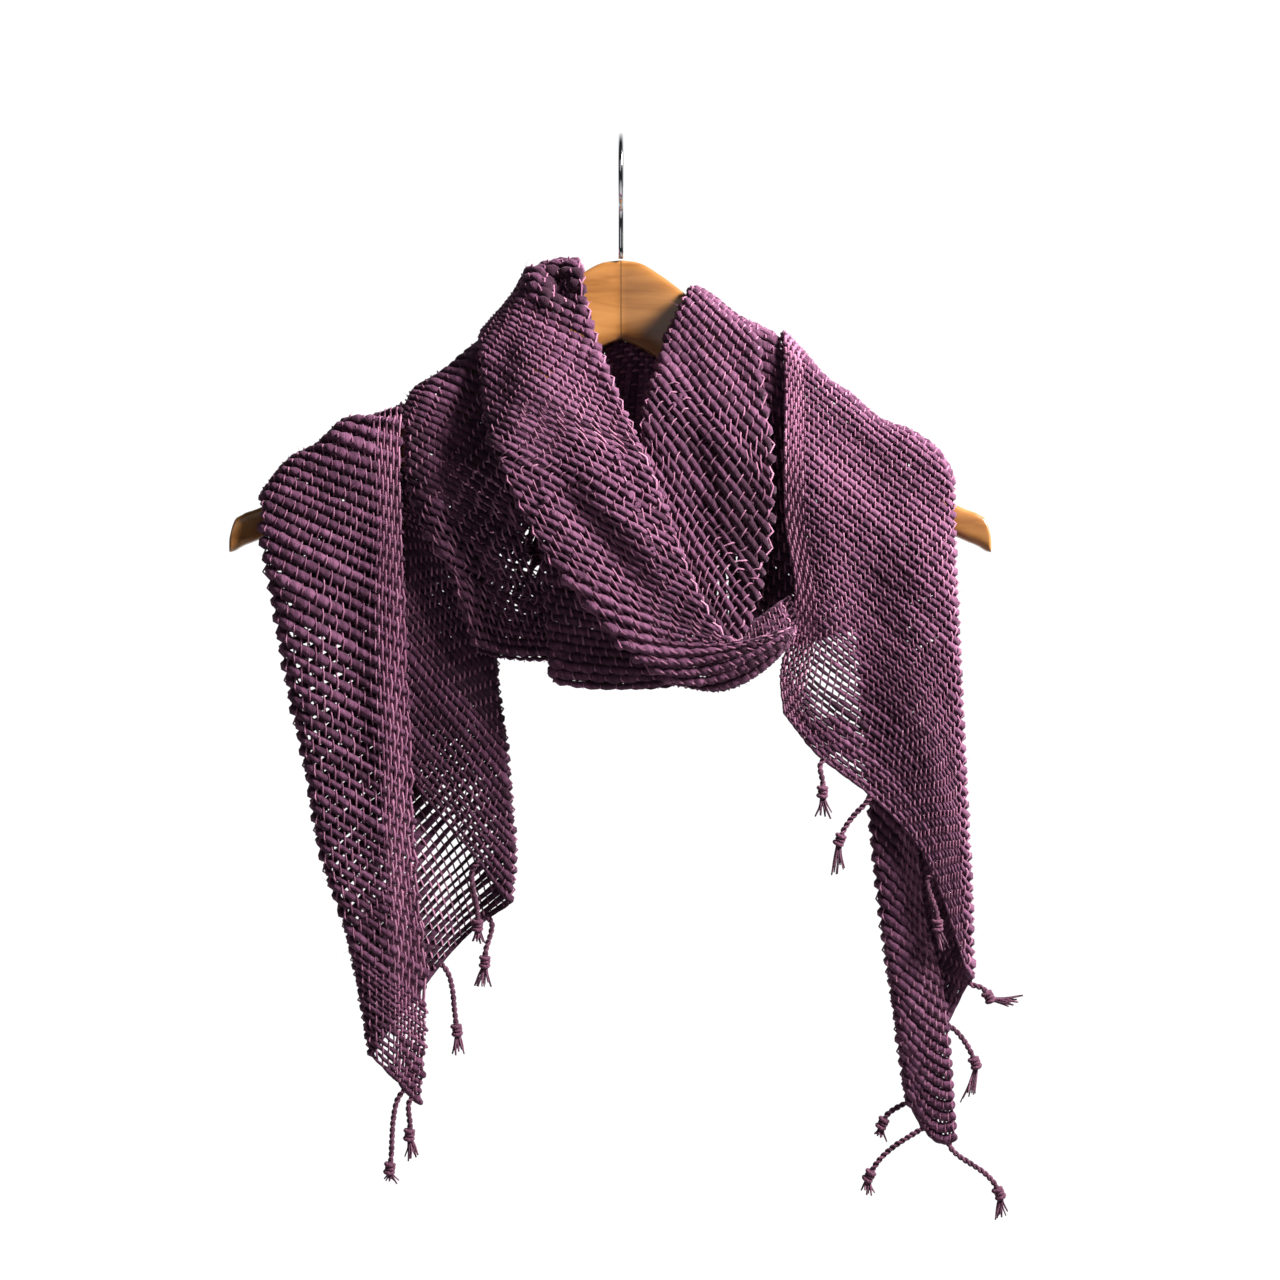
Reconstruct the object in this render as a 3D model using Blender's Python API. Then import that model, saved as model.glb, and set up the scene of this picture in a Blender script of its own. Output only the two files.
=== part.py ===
"""Cotton scarf wound over a wooden coat hanger, held by the hanger's hook.

Each stretch of cloth that shows is one solid. Its sections run from selvedge to selvedge through the fold
points of a table row, and are wrapped over the hanger's arm. A Solidify modifier gives them their wall. X
points to the viewer's right, Y away from the viewer and Z up. The origin is the seat under the hook's crown.
Sizes are in millimetres, and become metres when an object is made. Flat heights above an arm's base line run
on over the arm to the back.
"""

import math
from collections import namedtuple

import bpy
import numpy as np

MM = 0.001

# Cloth
WALL = 2.0
SEAM_GAP = 0.4
BENT_SEAM_GAP = 2.0
DEPTH_DROP = 70.0
EDGE_ROLL = 3.0
LEAST_TURN_UNDER = 2.5
ROLL_STEPS = 3
TAIL_SPANS = (6, 5, 5)

# Hanger: a bent arm each side of the crease, with rounded edges
ARM_REACH = 222.0
ARM_BEND = 22.0
ARM_THICKNESS = 12.0
ARM_LEFT_SCALE = 229.0 / 222.0
ARM_RIGHT_SCALE = 217.0 / 222.0
ARM_SIDES = 12

# Hook: wire bent to a question mark, its plane square to the hanger
WIRE_RADIUS = 1.5
CROWN_RADIUS = 21.5
SHANK_FOOT_Z = -71.6
SHANK_BEND_Z = -57.0
JOIN_ANGLE = -158.0
TIP_ANGLE = 112.0
BEND_STEPS = 4
HOOK_STEPS = 20
WIRE_SIDES = 10

# Tassels: a twisted cord, its knot and the frayed strands below
CORD_RADIUS = 1.4
CORD_SIDES = 6
CORD_STEPS = 4
KNOT_RADIUS = 2.9
KNOT_LENGTH = 6.5
STRANDS = 4
STRAND_RADIUS = 0.6
STRAND_ROOT_RADIUS = 1.3

Point = namedtuple("Point", "x z")
Arm = namedtuple("Arm", "x top bottom")
Layer = namedtuple("Layer", "crest low")
Crease = namedtuple("Crease", "from_x from_z to_x to_z width height")
TailRow = namedtuple(
    "TailRow",
    "steps bow rise fall edge_x edge_z outer_x outer_z inner_x inner_z end_x end_z",
)
LoopRow = namedtuple("LoopRow", "steps bow depth curl_l curl_r left_x left_z right_x right_z")
BackRow = namedtuple("BackRow", "steps top_x top_y top_z low_x low_y low_z")
Tail = namedtuple("Tail", "name crest radius layers rows creases")
Loop = namedtuple("Loop", "name crest radius turn rows creases spans")
Back = namedtuple("Back", "name rows waves amplitude phase")
Tassel = namedtuple("Tassel", "name across knot_x knot_z end_x end_z lift splay")

ARM_ROWS = [
    Arm(0, -72, -119),
    Arm(12, -74, -124),
    Arm(23, -80.5, -131),
    Arm(39, -92.5, -141),
    Arm(56, -107, -152),
    Arm(72, -121, -162),
    Arm(100, -148, -181),
    Arm(129, -176, -199),
    Arm(165, -199, -218),
    Arm(195, -215.5, -234),
    Arm(208, -221.5, -240),
    Arm(215, -224.5, -243),
    Arm(220, -230, -246),
    Arm(222, -238, -246.5),
]

LEFT_TAIL = Tail(
    name="left_tail",
    crest=[
        Point(-210, -211),
        Point(-195, -192),
        Point(-176, -181),
        Point(-164, -169),
        Point(-146, -166),
        Point(-129, -158),
    ],
    radius=14.5,
    layers=[Layer(14.5, 25), Layer(9, 10.5), Layer(11.7, 17.5)],
    rows=[
        TailRow(4, 0, 0, 0, -129, -120, -196, -98, -137, -118, -180, -145),
        TailRow(4, 0, 0, 0, -129, -163, -203, -142, -137, -150, -175, -170),
        TailRow(4, 0, 0, 0, -129, -199, -209, -175, -136, -180, -170, -188),
        TailRow(3, 0, 0, 0, -128, -236, -210, -206, -118, -210, -165, -204),
        TailRow(1, 0, 0, 0, -127, -274, -208, -243, -92, -237, -158, -210),
        TailRow(1, 0, 0, 0, -126, -313, -200, -283, -80, -262, -148, -207),
        TailRow(1, 0, 0, 0, -124, -355, -192, -329, -74, -290, -142, -222),
        TailRow(1, 0, 0, 0, -123, -400, -182, -376, -73, -325, -142, -255),
        TailRow(1, 0, 0, 0, -120, -444, -174, -423, -68, -360, -146, -290),
        TailRow(1, 0, 2, 0, -116, -485, -160, -466, -65, -395, -150, -308),
        TailRow(1, 0, 5, 0, -116, -530, -151, -508, -63, -424, -156, -325),
        TailRow(0, 0, 8, 0, -119, -567, -146, -540, -65, -452, -161, -334),
    ],
    creases=[
        Crease(-186, -230, -172, -360, 12, 2.5),
        Crease(-156, -250, -150, -380, 10, -1.8),
        Crease(-137, -260, -136, -520, 9, 2.0),
        Crease(-98, -320, -84, -420, 10, 1.8),
    ],
)

RIGHT_TAIL = Tail(
    name="right_tail",
    crest=[
        Point(87, -113),
        Point(96, -115),
        Point(108, -128),
        Point(119, -141),
        Point(135, -152),
        Point(149, -165),
        Point(173, -176),
        Point(190, -192),
        Point(195, -202),
    ],
    radius=14.5,
    layers=[Layer(14.5, 25), Layer(7.5, 10.5), Layer(11, 17.5)],
    rows=[
        TailRow(5, 0, 0, 0, 96, -78, 194, -152, 134, -124, 162, -142),
        TailRow(3, 0, 0, 0, 96, -115, 194, -195, 134, -175, 163, -200),
        TailRow(2, 0, 0, 0, 97, -150, 194, -235, 136, -240, 165, -268),
        TailRow(2, 0, 0, 0, 96, -190, 195, -280, 140, -305, 168, -335),
        TailRow(2, 3, 0, 0, 97, -230, 197, -325, 144, -370, 172, -400),
        TailRow(1, 10, 0, 0, 102, -262, 199, -368, 149, -425, 177, -455),
        TailRow(2, 20, 0, 0, 101, -290, 201, -408, 155, -475, 188, -500),
        TailRow(2, 26, 0, 4, 94, -316, 203, -448, 161, -518, 192, -545),
        TailRow(0, 33, 0, 10, 96, -342, 204, -495, 168, -569, 195, -588),
    ],
    creases=[
        Crease(114, -160, 122, -300, 11, 2.5),
        Crease(142, -240, 150, -350, 12, -1.8),
        Crease(172, -240, 184, -420, 13, 2.5),
    ],
)

NECK_LOOP = Loop(
    name="neck_loop",
    crest=[
        Point(-84, -116),
        Point(-78, -109),
        Point(-64, -93),
        Point(-56, -82),
        Point(-48, -75.5),
        Point(-36, -72),
        Point(-26, -72),
        Point(-20, -73),
    ],
    radius=20.0,
    turn=22.0,
    rows=[
        LoopRow(7, 0, 40, 0.12, 0.12, -84, -26, -24, -48),
        LoopRow(5, 0, 40, 0.12, 0.12, -84, -70, -21, -94),
        LoopRow(4, 0, 42, 0.12, 0.12, -83, -106, -12, -130),
        LoopRow(2, 0, 46, 0.12, 0.5, -82, -138, 2, -164),
        LoopRow(1, 0, 49, 0.5, 1.0, -79, -168, 16, -195),
        LoopRow(2, 0, 51, 1.0, 1.0, -70, -195, 30, -233),
        LoopRow(1, 0, 53, 1.0, 1.0, -54, -228, 44, -268),
        LoopRow(1, 0, 54, 1.0, 1.0, -37, -257, 60, -296),
        LoopRow(1, -2, 54, 1.0, 0.9, -18, -279, 75, -301),
        LoopRow(1, -5, 54, 0.9, 0.7, 0, -301, 87, -295),
        LoopRow(1, -8, 53, 0.5, 0.4, 15, -313, 95, -291),
        LoopRow(1, -11, 50, 0.2, 0.2, 30, -322, 99, -292),
        LoopRow(1, -14, 43, 0.12, 0.12, 38, -323, 100, -295),
        LoopRow(1, -12, 35, 0.12, 0.12, 43, -317, 99, -291),
        LoopRow(0, -4, 29, 0.12, 0.12, 48, -298, 94, -276),
    ],
    creases=[
        Crease(-53, -76, -39, -106, 4, 2.5),
        Crease(-39, -78, -27, -104, 8, -6.0),
        Crease(-60, -120, 20, -262, 12, 2.5),
        Crease(-40, -104, 34, -248, 9, -2.0),
    ],
    spans=7,
)

RIGHT_NECK = Loop(
    name="right_neck",
    crest=[
        Point(37, -86),
        Point(44, -88),
        Point(52, -93),
        Point(65, -103),
        Point(77, -113),
        Point(84, -120),
    ],
    radius=18.0,
    turn=18.0,
    rows=[
        LoopRow(4, 0, 28, 0.12, 0.12, 52, -48, 76, -72),
        LoopRow(3, 0, 28, 0.12, 0.12, 46, -66, 81, -100),
        LoopRow(2, 0, 29, 0.12, 0.12, 39, -92, 81, -137),
        LoopRow(1, 0, 30, 0.3, 0.3, 32, -108, 86, -170),
        LoopRow(2, 0, 31, 0.7, 0.8, 26, -124, 88, -200),
        LoopRow(1, 0, 32, 1.0, 1.0, 20, -142, 88, -228),
        LoopRow(2, 0, 34, 1.0, 1.0, 14, -165, 83, -260),
        LoopRow(2, 0, 37, 0.5, 0.5, 12, -198, 74, -288),
        LoopRow(0, 0, 39, 0.12, 0.12, 20, -235, 66, -303),
    ],
    creases=[
        Crease(54, -125, 66, -235, 9, 2.0),
        Crease(36, -125, 48, -235, 8, -1.5),
    ],
    spans=5,
)

LEFT_DRAPE = Loop(
    name="left_drape",
    crest=[
        Point(-133, -165),
        Point(-129, -163),
        Point(-124, -151),
        Point(-118, -146.5),
        Point(-99, -134),
        Point(-87, -124),
        Point(-62, -104),
    ],
    radius=12.0,
    turn=16.0,
    rows=[
        LoopRow(4, 0, 28, 0.12, 0.12, -131, -92, -66, -105),
        LoopRow(5, 0, 28, 0.12, 0.12, -131, -120, -65, -136),
        LoopRow(5, 0, 28, 0.12, 0.12, -130, -150, -63, -168),
        LoopRow(1, 0, 29, 0.12, 0.5, -126.5, -180, -61, -201),
        LoopRow(1, 0, 29, 0.12, 1.0, -125, -206, -57, -236),
        LoopRow(1, 0, 29, 0.3, 1.0, -116, -232, -50, -262),
        LoopRow(1, -1, 29, 0.9, 0.9, -100, -256, -42, -280),
        LoopRow(1, -2, 29, 0.3, 0.3, -92, -281, -37, -295),
        LoopRow(1, -3, 28, 0.12, 0.12, -86, -300, -34, -304),
        LoopRow(1, -3, 25.5, 0.12, 0.12, -83, -304, -34, -308),
        LoopRow(1, -2, 23, 0.12, 0.12, -83, -298, -35, -302),
        LoopRow(0, 0, 22, 0.12, 0.12, -86, -280, -37, -284),
    ],
    creases=[
        Crease(-128, -206, -122, -240, 9, -6.0),
        Crease(-111, -190, -100, -262, 6, 1.5),
        Crease(-82, -190, -70, -280, 9, -1.5),
    ],
    spans=7,
)

LOWER_DRAPE = Loop(
    name="lower_drape",
    crest=[Point(-46, -150), Point(0, -150)],
    radius=30.0,
    turn=12.0,
    rows=[
        LoopRow(1, 0, 38, 0.12, 0.12, -46, -240, 0, -262),
        LoopRow(1, 0, 39.2, 0.12, 0.12, -46, -263, 14, -280),
        LoopRow(1, -1, 40, 0.12, 0.12, -43, -286, 26, -298),
        LoopRow(1, -2, 40, 0.12, 0.12, -42, -306, 33, -312),
        LoopRow(1, -3, 37, 0.12, 0.12, -40, -320, 39.6, -320),
        LoopRow(1, -3, 34, 0.12, 0.12, -36, -324, 39.5, -323),
        LoopRow(1, -2, 31.5, 0.12, 0.12, -31, -318, 38, -318),
        LoopRow(0, 0, 31, 0.12, 0.12, -30, -300, 34, -300),
    ],
    creases=[Crease(-34, -250, -28, -320, 8, 1.5)],
    spans=4,
)

RIGHT_FOLD = Loop(
    name="right_fold",
    crest=[
        Point(62, -107.9),
        Point(77, -121),
        Point(85, -126.5),
        Point(91, -121.5),
        Point(96, -120),
    ],
    radius=10.0,
    turn=8.0,
    rows=[
        LoopRow(4, 0, 11, 0.12, 0.12, 60, -80, 93, -92),
        LoopRow(2, 0, 11, 0.12, 0.12, 63, -110, 94, -125),
        LoopRow(1, 0, 11, 0.12, 0.12, 70, -150, 97, -165),
        LoopRow(1, 0, 12, 0.12, 0.12, 78, -200, 100, -215),
        LoopRow(1, 0, 12, 0.12, 0.12, 80, -250, 104, -262),
        LoopRow(0, 0, 12, 0.12, 0.12, 82, -290, 102, -296),
    ],
    creases=[],
    spans=3,
)

LOOPS = [NECK_LOOP, RIGHT_NECK, LEFT_DRAPE, LOWER_DRAPE, RIGHT_FOLD]
TAILS = [LEFT_TAIL, RIGHT_TAIL]

BACK_LEFT = Back(
    name="back_left",
    rows=[
        BackRow(2, -100, 11, -182, -172, 4, -298),
        BackRow(2, -55, 12, -146, -120, 11, -304),
        BackRow(2, 0, 12, -114, -34, 14, -302),
        BackRow(2, 30, 13, -119, 56, 16, -262),
        BackRow(2, 46, 16, -131, 82, 17, -190),
    ],
    waves=3.5,
    amplitude=2.2,
    phase=0.4,
)
BACK_RIGHT = Back(
    name="back_right",
    rows=[
        BackRow(2, -18, 25, -132, -100, 23, -228),
        BackRow(2, 10, 29, -138, -80, 27, -284),
        BackRow(2, 45, 30, -140, 10, 31, -309),
        BackRow(2, 74, 26, -144, 110, 24, -300),
        BackRow(2, 90, 17, -160, 184, 5, -268),
    ],
    waves=3.0,
    amplitude=2.6,
    phase=1.1,
)
BACK_SPANS = 12

LEFT_TASSELS = [
    Tassel("tassel_left_1", 0.010, -123, -583, -122, -598, 0, 2.5),
    Tassel("tassel_left_2", 0.030, -134, -602, -134, -612, -3, 2.5),
    Tassel("tassel_left_3", 0.20, -124, -548, -122, -562, 2, 2.0),
    Tassel("tassel_left_4", 0.345, -97, -524, -96, -539, 0, 2.5),
    Tassel("tassel_left_5", 0.465, -80, -484, -82, -499, 0, 3.5),
    Tassel("tassel_left_6", 0.62, -84, -462, -84, -474, 2, 2.5),
    Tassel("tassel_left_7", 0.83, -139, -404, -139, -418, 0, 2.0),
    Tassel("tassel_left_8", 0.97, -156, -382, -156, -396, 0, 2.0),
]
RIGHT_TASSELS = [
    Tassel("tassel_right_1", 0.105, 118, -383, 118, -398, 0, 3.0),
    Tassel("tassel_right_2", 0.212, 129, -411, 126, -430, 0, 2.5),
    Tassel("tassel_right_3", 0.39, 184, -460, 187, -475, 0, 2.0),
    Tassel("tassel_right_4", 0.617, 213, -503, 227, -509, 0, 4.0),
    Tassel("tassel_right_5", 0.71, 206, -542, 204, -562, 0, 3.0),
    Tassel("tassel_right_6", 0.85, 155, -578, 152, -588, 0, 2.5),
    Tassel("tassel_right_7", 0.93, 147, -608, 144, -619, 3, 3.0),
    Tassel("tassel_right_8", 0.985, 219, -617, 221, -631, 0, 2.5),
]

CLOTH_COLOR = (0.135, 0.052, 0.105, 1.0)
TASSEL_COLOR = (0.16, 0.065, 0.115, 1.0)
WOOD_COLOR = (0.55, 0.30, 0.13, 1.0)
CHROME_COLOR = (0.75, 0.75, 0.76, 1.0)


def smooth(u):
    """0 up to 1, level at both ends."""
    u = np.clip(u, 0.0, 1.0)
    return u * u * (3.0 - 2.0 * u)


def row_times(rows):
    """Where the sections lie along the cloth, counted in table rows."""
    times = [k + j / row.steps for k, row in enumerate(rows[:-1]) for j in range(row.steps)]
    return times + [len(rows) - 1.0]


def row_at(rows, t):
    """The row at t, by a Catmull-Rom curve through the table's rows."""
    numbers = np.array(rows, float)
    k = min(int(t), len(rows) - 2)
    u = t - k
    p1 = numbers[k]
    p2 = numbers[k + 1]
    p0 = numbers[k - 1] if k else 2 * p1 - p2
    p3 = numbers[k + 2] if k + 2 < len(rows) else 2 * p2 - p1
    square = 2 * p0 - 5 * p1 + 4 * p2 - p3
    cube = 3 * (p1 - p2) + p3 - p0
    return type(rows[0])(*(p1 + 0.5 * u * (p2 - p0 + u * (square + u * cube))))


def through(points, x):
    """Height at x on a rounded line through the points."""
    xs = np.array([p.x for p in points], float)
    zs = np.array([p.z for p in points], float)
    slopes = np.gradient(zs, xs)
    x = np.clip(x, xs[0], xs[-1])
    k = np.clip(np.searchsorted(xs, x) - 1, 0, len(xs) - 2)
    gap = xs[k + 1] - xs[k]
    u = (x - xs[k]) / gap
    rise = (3 - 2 * u) * u * u * (zs[k + 1] - zs[k])
    return zs[k] + rise + u * (1 - u) * gap * ((1 - u) * slopes[k] - u * slopes[k + 1])


def middle_y(x):
    """Mid-plane of the hanger, whose arms bend towards the viewer."""
    return -ARM_BEND * (x / ARM_REACH) ** 2


def base_line(sheet, x):
    """Height where the cloth leaves the front and turns over the arm."""
    return through(sheet.crest, x) - WALL / 2 - sheet.radius


def creased(sheet, x, z):
    """Depth that the soft creases add at a flat point."""
    total = np.zeros_like(x)
    for c in sheet.creases:
        run = np.array([c.to_x - c.from_x, c.to_z - c.from_z], float)
        length = np.hypot(*run)
        along = ((x - c.from_x) * run[0] + (z - c.from_z) * run[1]) / length**2
        across = ((x - c.from_x) * run[1] - (z - c.from_z) * run[0]) / length
        fade = smooth((along + 0.15) / 0.3) * smooth((1.15 - along) / 0.3)
        total += c.height * np.exp(-((across / c.width) ** 2)) * fade
    return total


def depth_at(sheet, crest_depth, low_depth, x, z):
    """Depth in front of the mid-plane: the crest's, easing to the low one further down."""
    drop = smooth((base_line(sheet, x) - z) / DEPTH_DROP)
    return crest_depth + (low_depth - crest_depth) * drop


def wrapped(sheet, flat):
    """Flat points (x, z, depth) put on the front, over the arm and down the back."""
    x, z, depth = flat.T
    base = base_line(sheet, x)
    depth = depth + creased(sheet, x, z)
    turn = np.clip((z - base) / sheet.radius, 0.0, math.pi)
    past = np.maximum(z - base - math.pi * sheet.radius, 0.0)
    y = middle_y(x) - depth * np.cos(turn)
    height = base + np.minimum(z - base, 0.0) + depth * np.sin(turn) - past
    return np.stack([x, y, height], axis=1)


def tail_section(tail, row, spans, roll_steps):
    """Flat points across a tail: front layer, round its outer fold, back layer, inner fold, middle layer.

    The row's bow curves the front layer, most near the outer fold, its rise the back one and its fall the
    middle one.
    """
    corners = [
        np.array([row.edge_x, row.edge_z]),
        np.array([row.outer_x, row.outer_z]),
        np.array([row.inner_x, row.inner_z]),
        np.array([row.end_x, row.end_z]),
    ]
    runs = [(b - a) / np.linalg.norm(b - a) for a, b in zip(corners, corners[1:])]

    def depth(layer, corner):
        return float(depth_at(tail, layer.crest, layer.low, corner[0:1], corner[1:2])[0])

    points = []
    radius_before = 0.0
    for k, layer in enumerate(tail.layers):
        start = corners[k] + radius_before * runs[k]
        last = k == len(tail.layers) - 1
        radius = 0.0
        if not last:
            before = depth(layer, corners[k + 1])
            after = depth(tail.layers[k + 1], corners[k + 1])
            radius = abs(before - after) / 2
        stop = corners[k + 1] - radius * runs[k]
        share = np.linspace(0.0, 1.0, spans[k] + 1)
        x = start[0] + (stop[0] - start[0]) * share
        z = start[1] + (stop[1] - start[1]) * share
        bow = (row.bow, row.rise, -row.fall)[k]
        late = share**2 if k == 0 else share
        z = z + bow * 4 * late * (1 - late)
        points += list(np.stack([x, z, depth_at(tail, layer.crest, layer.low, x, z)], axis=1))
        if last:
            break
        for turn in np.linspace(0.0, math.pi, roll_steps + 1)[1:-1]:
            inset = radius * (1 - math.sin(turn))
            flat = corners[k + 1] + (inset * runs[k + 1] if turn > math.pi / 2 else -inset * runs[k])
            points.append([flat[0], flat[1], (before + after) / 2 + (before - after) / 2 * math.cos(turn)])
        radius_before = radius
    return np.array(points)


def loop_section(loop, row, spans, roll_steps):
    """Flat points across a loop, each edge rolled back by its curl: 0 is flat and 1 is turned under."""
    left = np.array([row.left_x, row.left_z])
    right = np.array([row.right_x, row.right_z])
    width = np.linalg.norm(right - left)
    run = (right - left) / width
    share = np.linspace(EDGE_ROLL / width, 1 - EDGE_ROLL / width, spans + 1)
    x = left[0] + (right[0] - left[0]) * share
    z = left[1] + (right[1] - left[1]) * share + row.bow * 4 * share * (1 - share)
    front = np.stack([x, z, depth_at(loop, loop.radius, row.depth, x, z)], axis=1)

    def edge(corner, curl, outward):
        angle = curl * math.pi
        most = min(loop.turn, 0.4 * width)
        under = LEAST_TURN_UNDER + (most - LEAST_TURN_UNDER) * smooth((curl - 0.8) / 0.2)
        turns = [angle * k / roll_steps for k in range(1, roll_steps + 1)]
        path = [(EDGE_ROLL * (math.sin(a) - 1), EDGE_ROLL * (1 - math.cos(a))) for a in turns]
        for part in (0.5, 1.0):
            path.append((
                path[roll_steps - 1][0] + part * under * math.cos(angle),
                path[roll_steps - 1][1] + part * under * math.sin(angle),
            ))
        flats = []
        for out, behind in path:
            flat = corner + outward * out * run
            flats.append([flat[0], flat[1], end_depth(flat) - behind])
        return flats

    def end_depth(flat):
        return float(depth_at(loop, loop.radius, row.depth, flat[0:1], flat[1:2])[0])

    return np.array(edge(left, row.curl_l, -1.0)[::-1] + list(front) + edge(right, row.curl_r, 1.0))


def tail_grid(tail, spans, roll_steps):
    rows = [tail_section(tail, row_at(tail.rows, t), spans, roll_steps) for t in row_times(tail.rows)]
    return np.array([wrapped(tail, flat) for flat in rows])


def loop_grid(loop, spans, roll_steps):
    rows = [loop_section(loop, row_at(loop.rows, t), spans, roll_steps) for t in row_times(loop.rows)]
    return np.array([wrapped(loop, flat) for flat in rows])


def end_rows(first, second, share, gap):
    """Two rows that carry a sheet on past its first section and a seam's gap, and how far they bow."""
    onward = first - second
    onward /= np.linalg.norm(onward, axis=1, keepdims=True)
    lengths = np.concatenate([[0.0], np.cumsum(np.linalg.norm(np.diff(first, axis=0), axis=1))])
    rows = []
    for below in (gap, 10.0):
        moved = first + onward * below
        line = np.stack([np.interp(share, lengths / lengths[-1], moved[:, k]) for k in range(3)], axis=1)
        rows.append(BackRow(2, *line[0], *line[-1]))
    bow = line - line[0] - (line[-1] - line[0]) * share[:, None]
    return rows, bow


def back_grid(back, start, finish, share):
    """A stretch behind the hanger, from one sheet's end to another's, with pleats along it."""
    rows = start[0] + back.rows + finish[0][::-1]
    grid = []
    for t in row_times(rows):
        row = row_at(rows, t)
        top = np.array([row.top_x, row.top_y, row.top_z])
        low = np.array([row.low_x, row.low_y, row.low_z])
        line = top + (low - top) * share[:, None]
        line += start[1] * smooth((3.0 - t) / 2.0) + finish[1] * smooth((t - len(rows) + 4.0) / 2.0)
        fade = smooth((t - 1.0) / 2.0) * smooth((len(rows) - 2.0 - t) / 2.0) * smooth(share * 3)
        line[:, 1] += back.amplitude * fade * np.sin(2 * math.pi * back.waves * share + back.phase)
        grid.append(line)
    return np.array(grid)


def sheet_of(grid):
    """Vertices and faces of one surface through a grid of points."""
    rows, columns = grid.shape[:2]
    faces = []
    for r in range(rows - 1):
        for c in range(columns - 1):
            corner = r * columns + c
            faces.append([corner, corner + columns, corner + columns + 1, corner + 1])
    return grid.reshape(-1, 3), faces


def tube(path, radii, sides):
    """Vertices and faces of a closed tube along a path, with a radius at each of its points."""
    path = np.array(path, float)
    tangents = np.gradient(path, axis=0)
    tangents /= np.linalg.norm(tangents, axis=1, keepdims=True)
    side = np.cross(tangents[0], [0.31, 0.95, 0.05])
    points = []
    for centre, tangent, radius in zip(path, tangents, radii):
        side = side - tangent * side.dot(tangent)
        side /= np.linalg.norm(side)
        other = np.cross(tangent, side)
        for k in range(sides):
            angle = 2 * math.pi * k / sides
            points.append(centre + radius * (math.cos(angle) * side + math.sin(angle) * other))
    faces = []
    for r in range(len(path) - 1):
        for k in range(sides):
            nxt = (k + 1) % sides
            faces.append([r * sides + k, r * sides + nxt, (r + 1) * sides + nxt, (r + 1) * sides + k])
    faces.append(list(range(sides))[::-1])
    faces.append([(len(path) - 1) * sides + k for k in range(sides)])
    return np.array(points), faces


def material(name, color, roughness, metallic=0.0):
    made = bpy.data.materials.new(name)
    made.use_nodes = True
    shader = made.node_tree.nodes["Principled BSDF"]
    shader.inputs["Base Color"].default_value = color
    shader.inputs["Roughness"].default_value = roughness
    shader.inputs["Metallic"].default_value = metallic
    return made


def make(name, points, faces, look):
    """One object from points in millimetres."""
    mesh = bpy.data.meshes.new(name)
    mesh.from_pydata([tuple(p) for p in np.asarray(points) * MM], [], faces)
    mesh.polygons.foreach_set("use_smooth", [True] * len(mesh.polygons))
    mesh.update()
    made = bpy.data.objects.new(name, mesh)
    bpy.context.scene.collection.objects.link(made)
    made.data.materials.append(look)
    return made


def outward(points, faces):
    """The same faces, turned if they point inwards."""
    volume = 0.0
    for face in faces:
        for a, b in zip(face[1:], face[2:]):
            volume += np.dot(points[face[0]], np.cross(points[a], points[b]))
    return faces if volume > 0 else [face[::-1] for face in faces]


def make_hanger():
    """Sections down both arms, each a flattened round from the top edge to the bottom one."""
    stations = [(-row.x * ARM_LEFT_SCALE, row) for row in ARM_ROWS[:0:-1]]
    stations += [(row.x * ARM_RIGHT_SCALE, row) for row in ARM_ROWS]
    points = []
    for x, row in stations:
        half = (row.top - row.bottom) / 2
        thick = ARM_THICKNESS / 2 * min(1.0, half / 6.0)
        for k in range(ARM_SIDES):
            angle = 2 * math.pi * (k + 0.5) / ARM_SIDES
            up = math.copysign(abs(math.sin(angle)) ** 0.6, math.sin(angle))
            out = math.copysign(abs(math.cos(angle)) ** 0.45, math.cos(angle))
            points.append([x, middle_y(x) + thick * out, (row.top + row.bottom) / 2 + half * up])
    faces = []
    for r in range(len(stations) - 1):
        for k in range(ARM_SIDES):
            nxt = (k + 1) % ARM_SIDES
            faces.append([
                r * ARM_SIDES + k,
                r * ARM_SIDES + nxt,
                (r + 1) * ARM_SIDES + nxt,
                (r + 1) * ARM_SIDES + k,
            ])
    faces.append(list(range(ARM_SIDES))[::-1])
    faces.append([(len(stations) - 1) * ARM_SIDES + k for k in range(ARM_SIDES)])
    points = np.array(points)
    make("hanger", points, outward(points, faces), material("hanger", WOOD_COLOR, 0.4))


def bezier(points, u):
    a, b, c, d = [np.array(p, float) for p in points]
    return a * (1 - u) ** 3 + 3 * b * u * (1 - u) ** 2 + 3 * c * u * u * (1 - u) + d * u**3


def on_crown(degrees):
    """Point of the hook's round part, by its angle from the crown towards the back."""
    angle = math.radians(degrees)
    centre_z = WIRE_RADIUS - CROWN_RADIUS
    return np.array([0.0, CROWN_RADIUS * math.sin(angle), centre_z + CROWN_RADIUS * math.cos(angle)])


def make_hook():
    """Wire up the shank, forward round the rod's front, over the crown and down behind."""
    join = on_crown(JOIN_ANGLE)
    tangent = np.array([0.0, math.cos(math.radians(JOIN_ANGLE)), -math.sin(math.radians(JOIN_ANGLE))])
    bend = [[0.0, 0.0, SHANK_BEND_Z], [0.0, 0.0, SHANK_BEND_Z + 8], join - tangent * 6, join]
    path = [[0.0, 0.0, SHANK_FOOT_Z], [0.0, 0.0, (SHANK_FOOT_Z + SHANK_BEND_Z) / 2]]
    path += [bezier(bend, k / BEND_STEPS) for k in range(BEND_STEPS)]
    path += [on_crown(JOIN_ANGLE + (TIP_ANGLE - JOIN_ANGLE) * k / HOOK_STEPS) for k in range(HOOK_STEPS + 1)]
    radii = [WIRE_RADIUS] * (len(path) - 1) + [WIRE_RADIUS * 0.8]
    points, faces = tube(path, radii, WIRE_SIDES)
    make("hook", points, outward(points, faces), material("hook", CHROME_COLOR, 0.18, 1.0))


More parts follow.
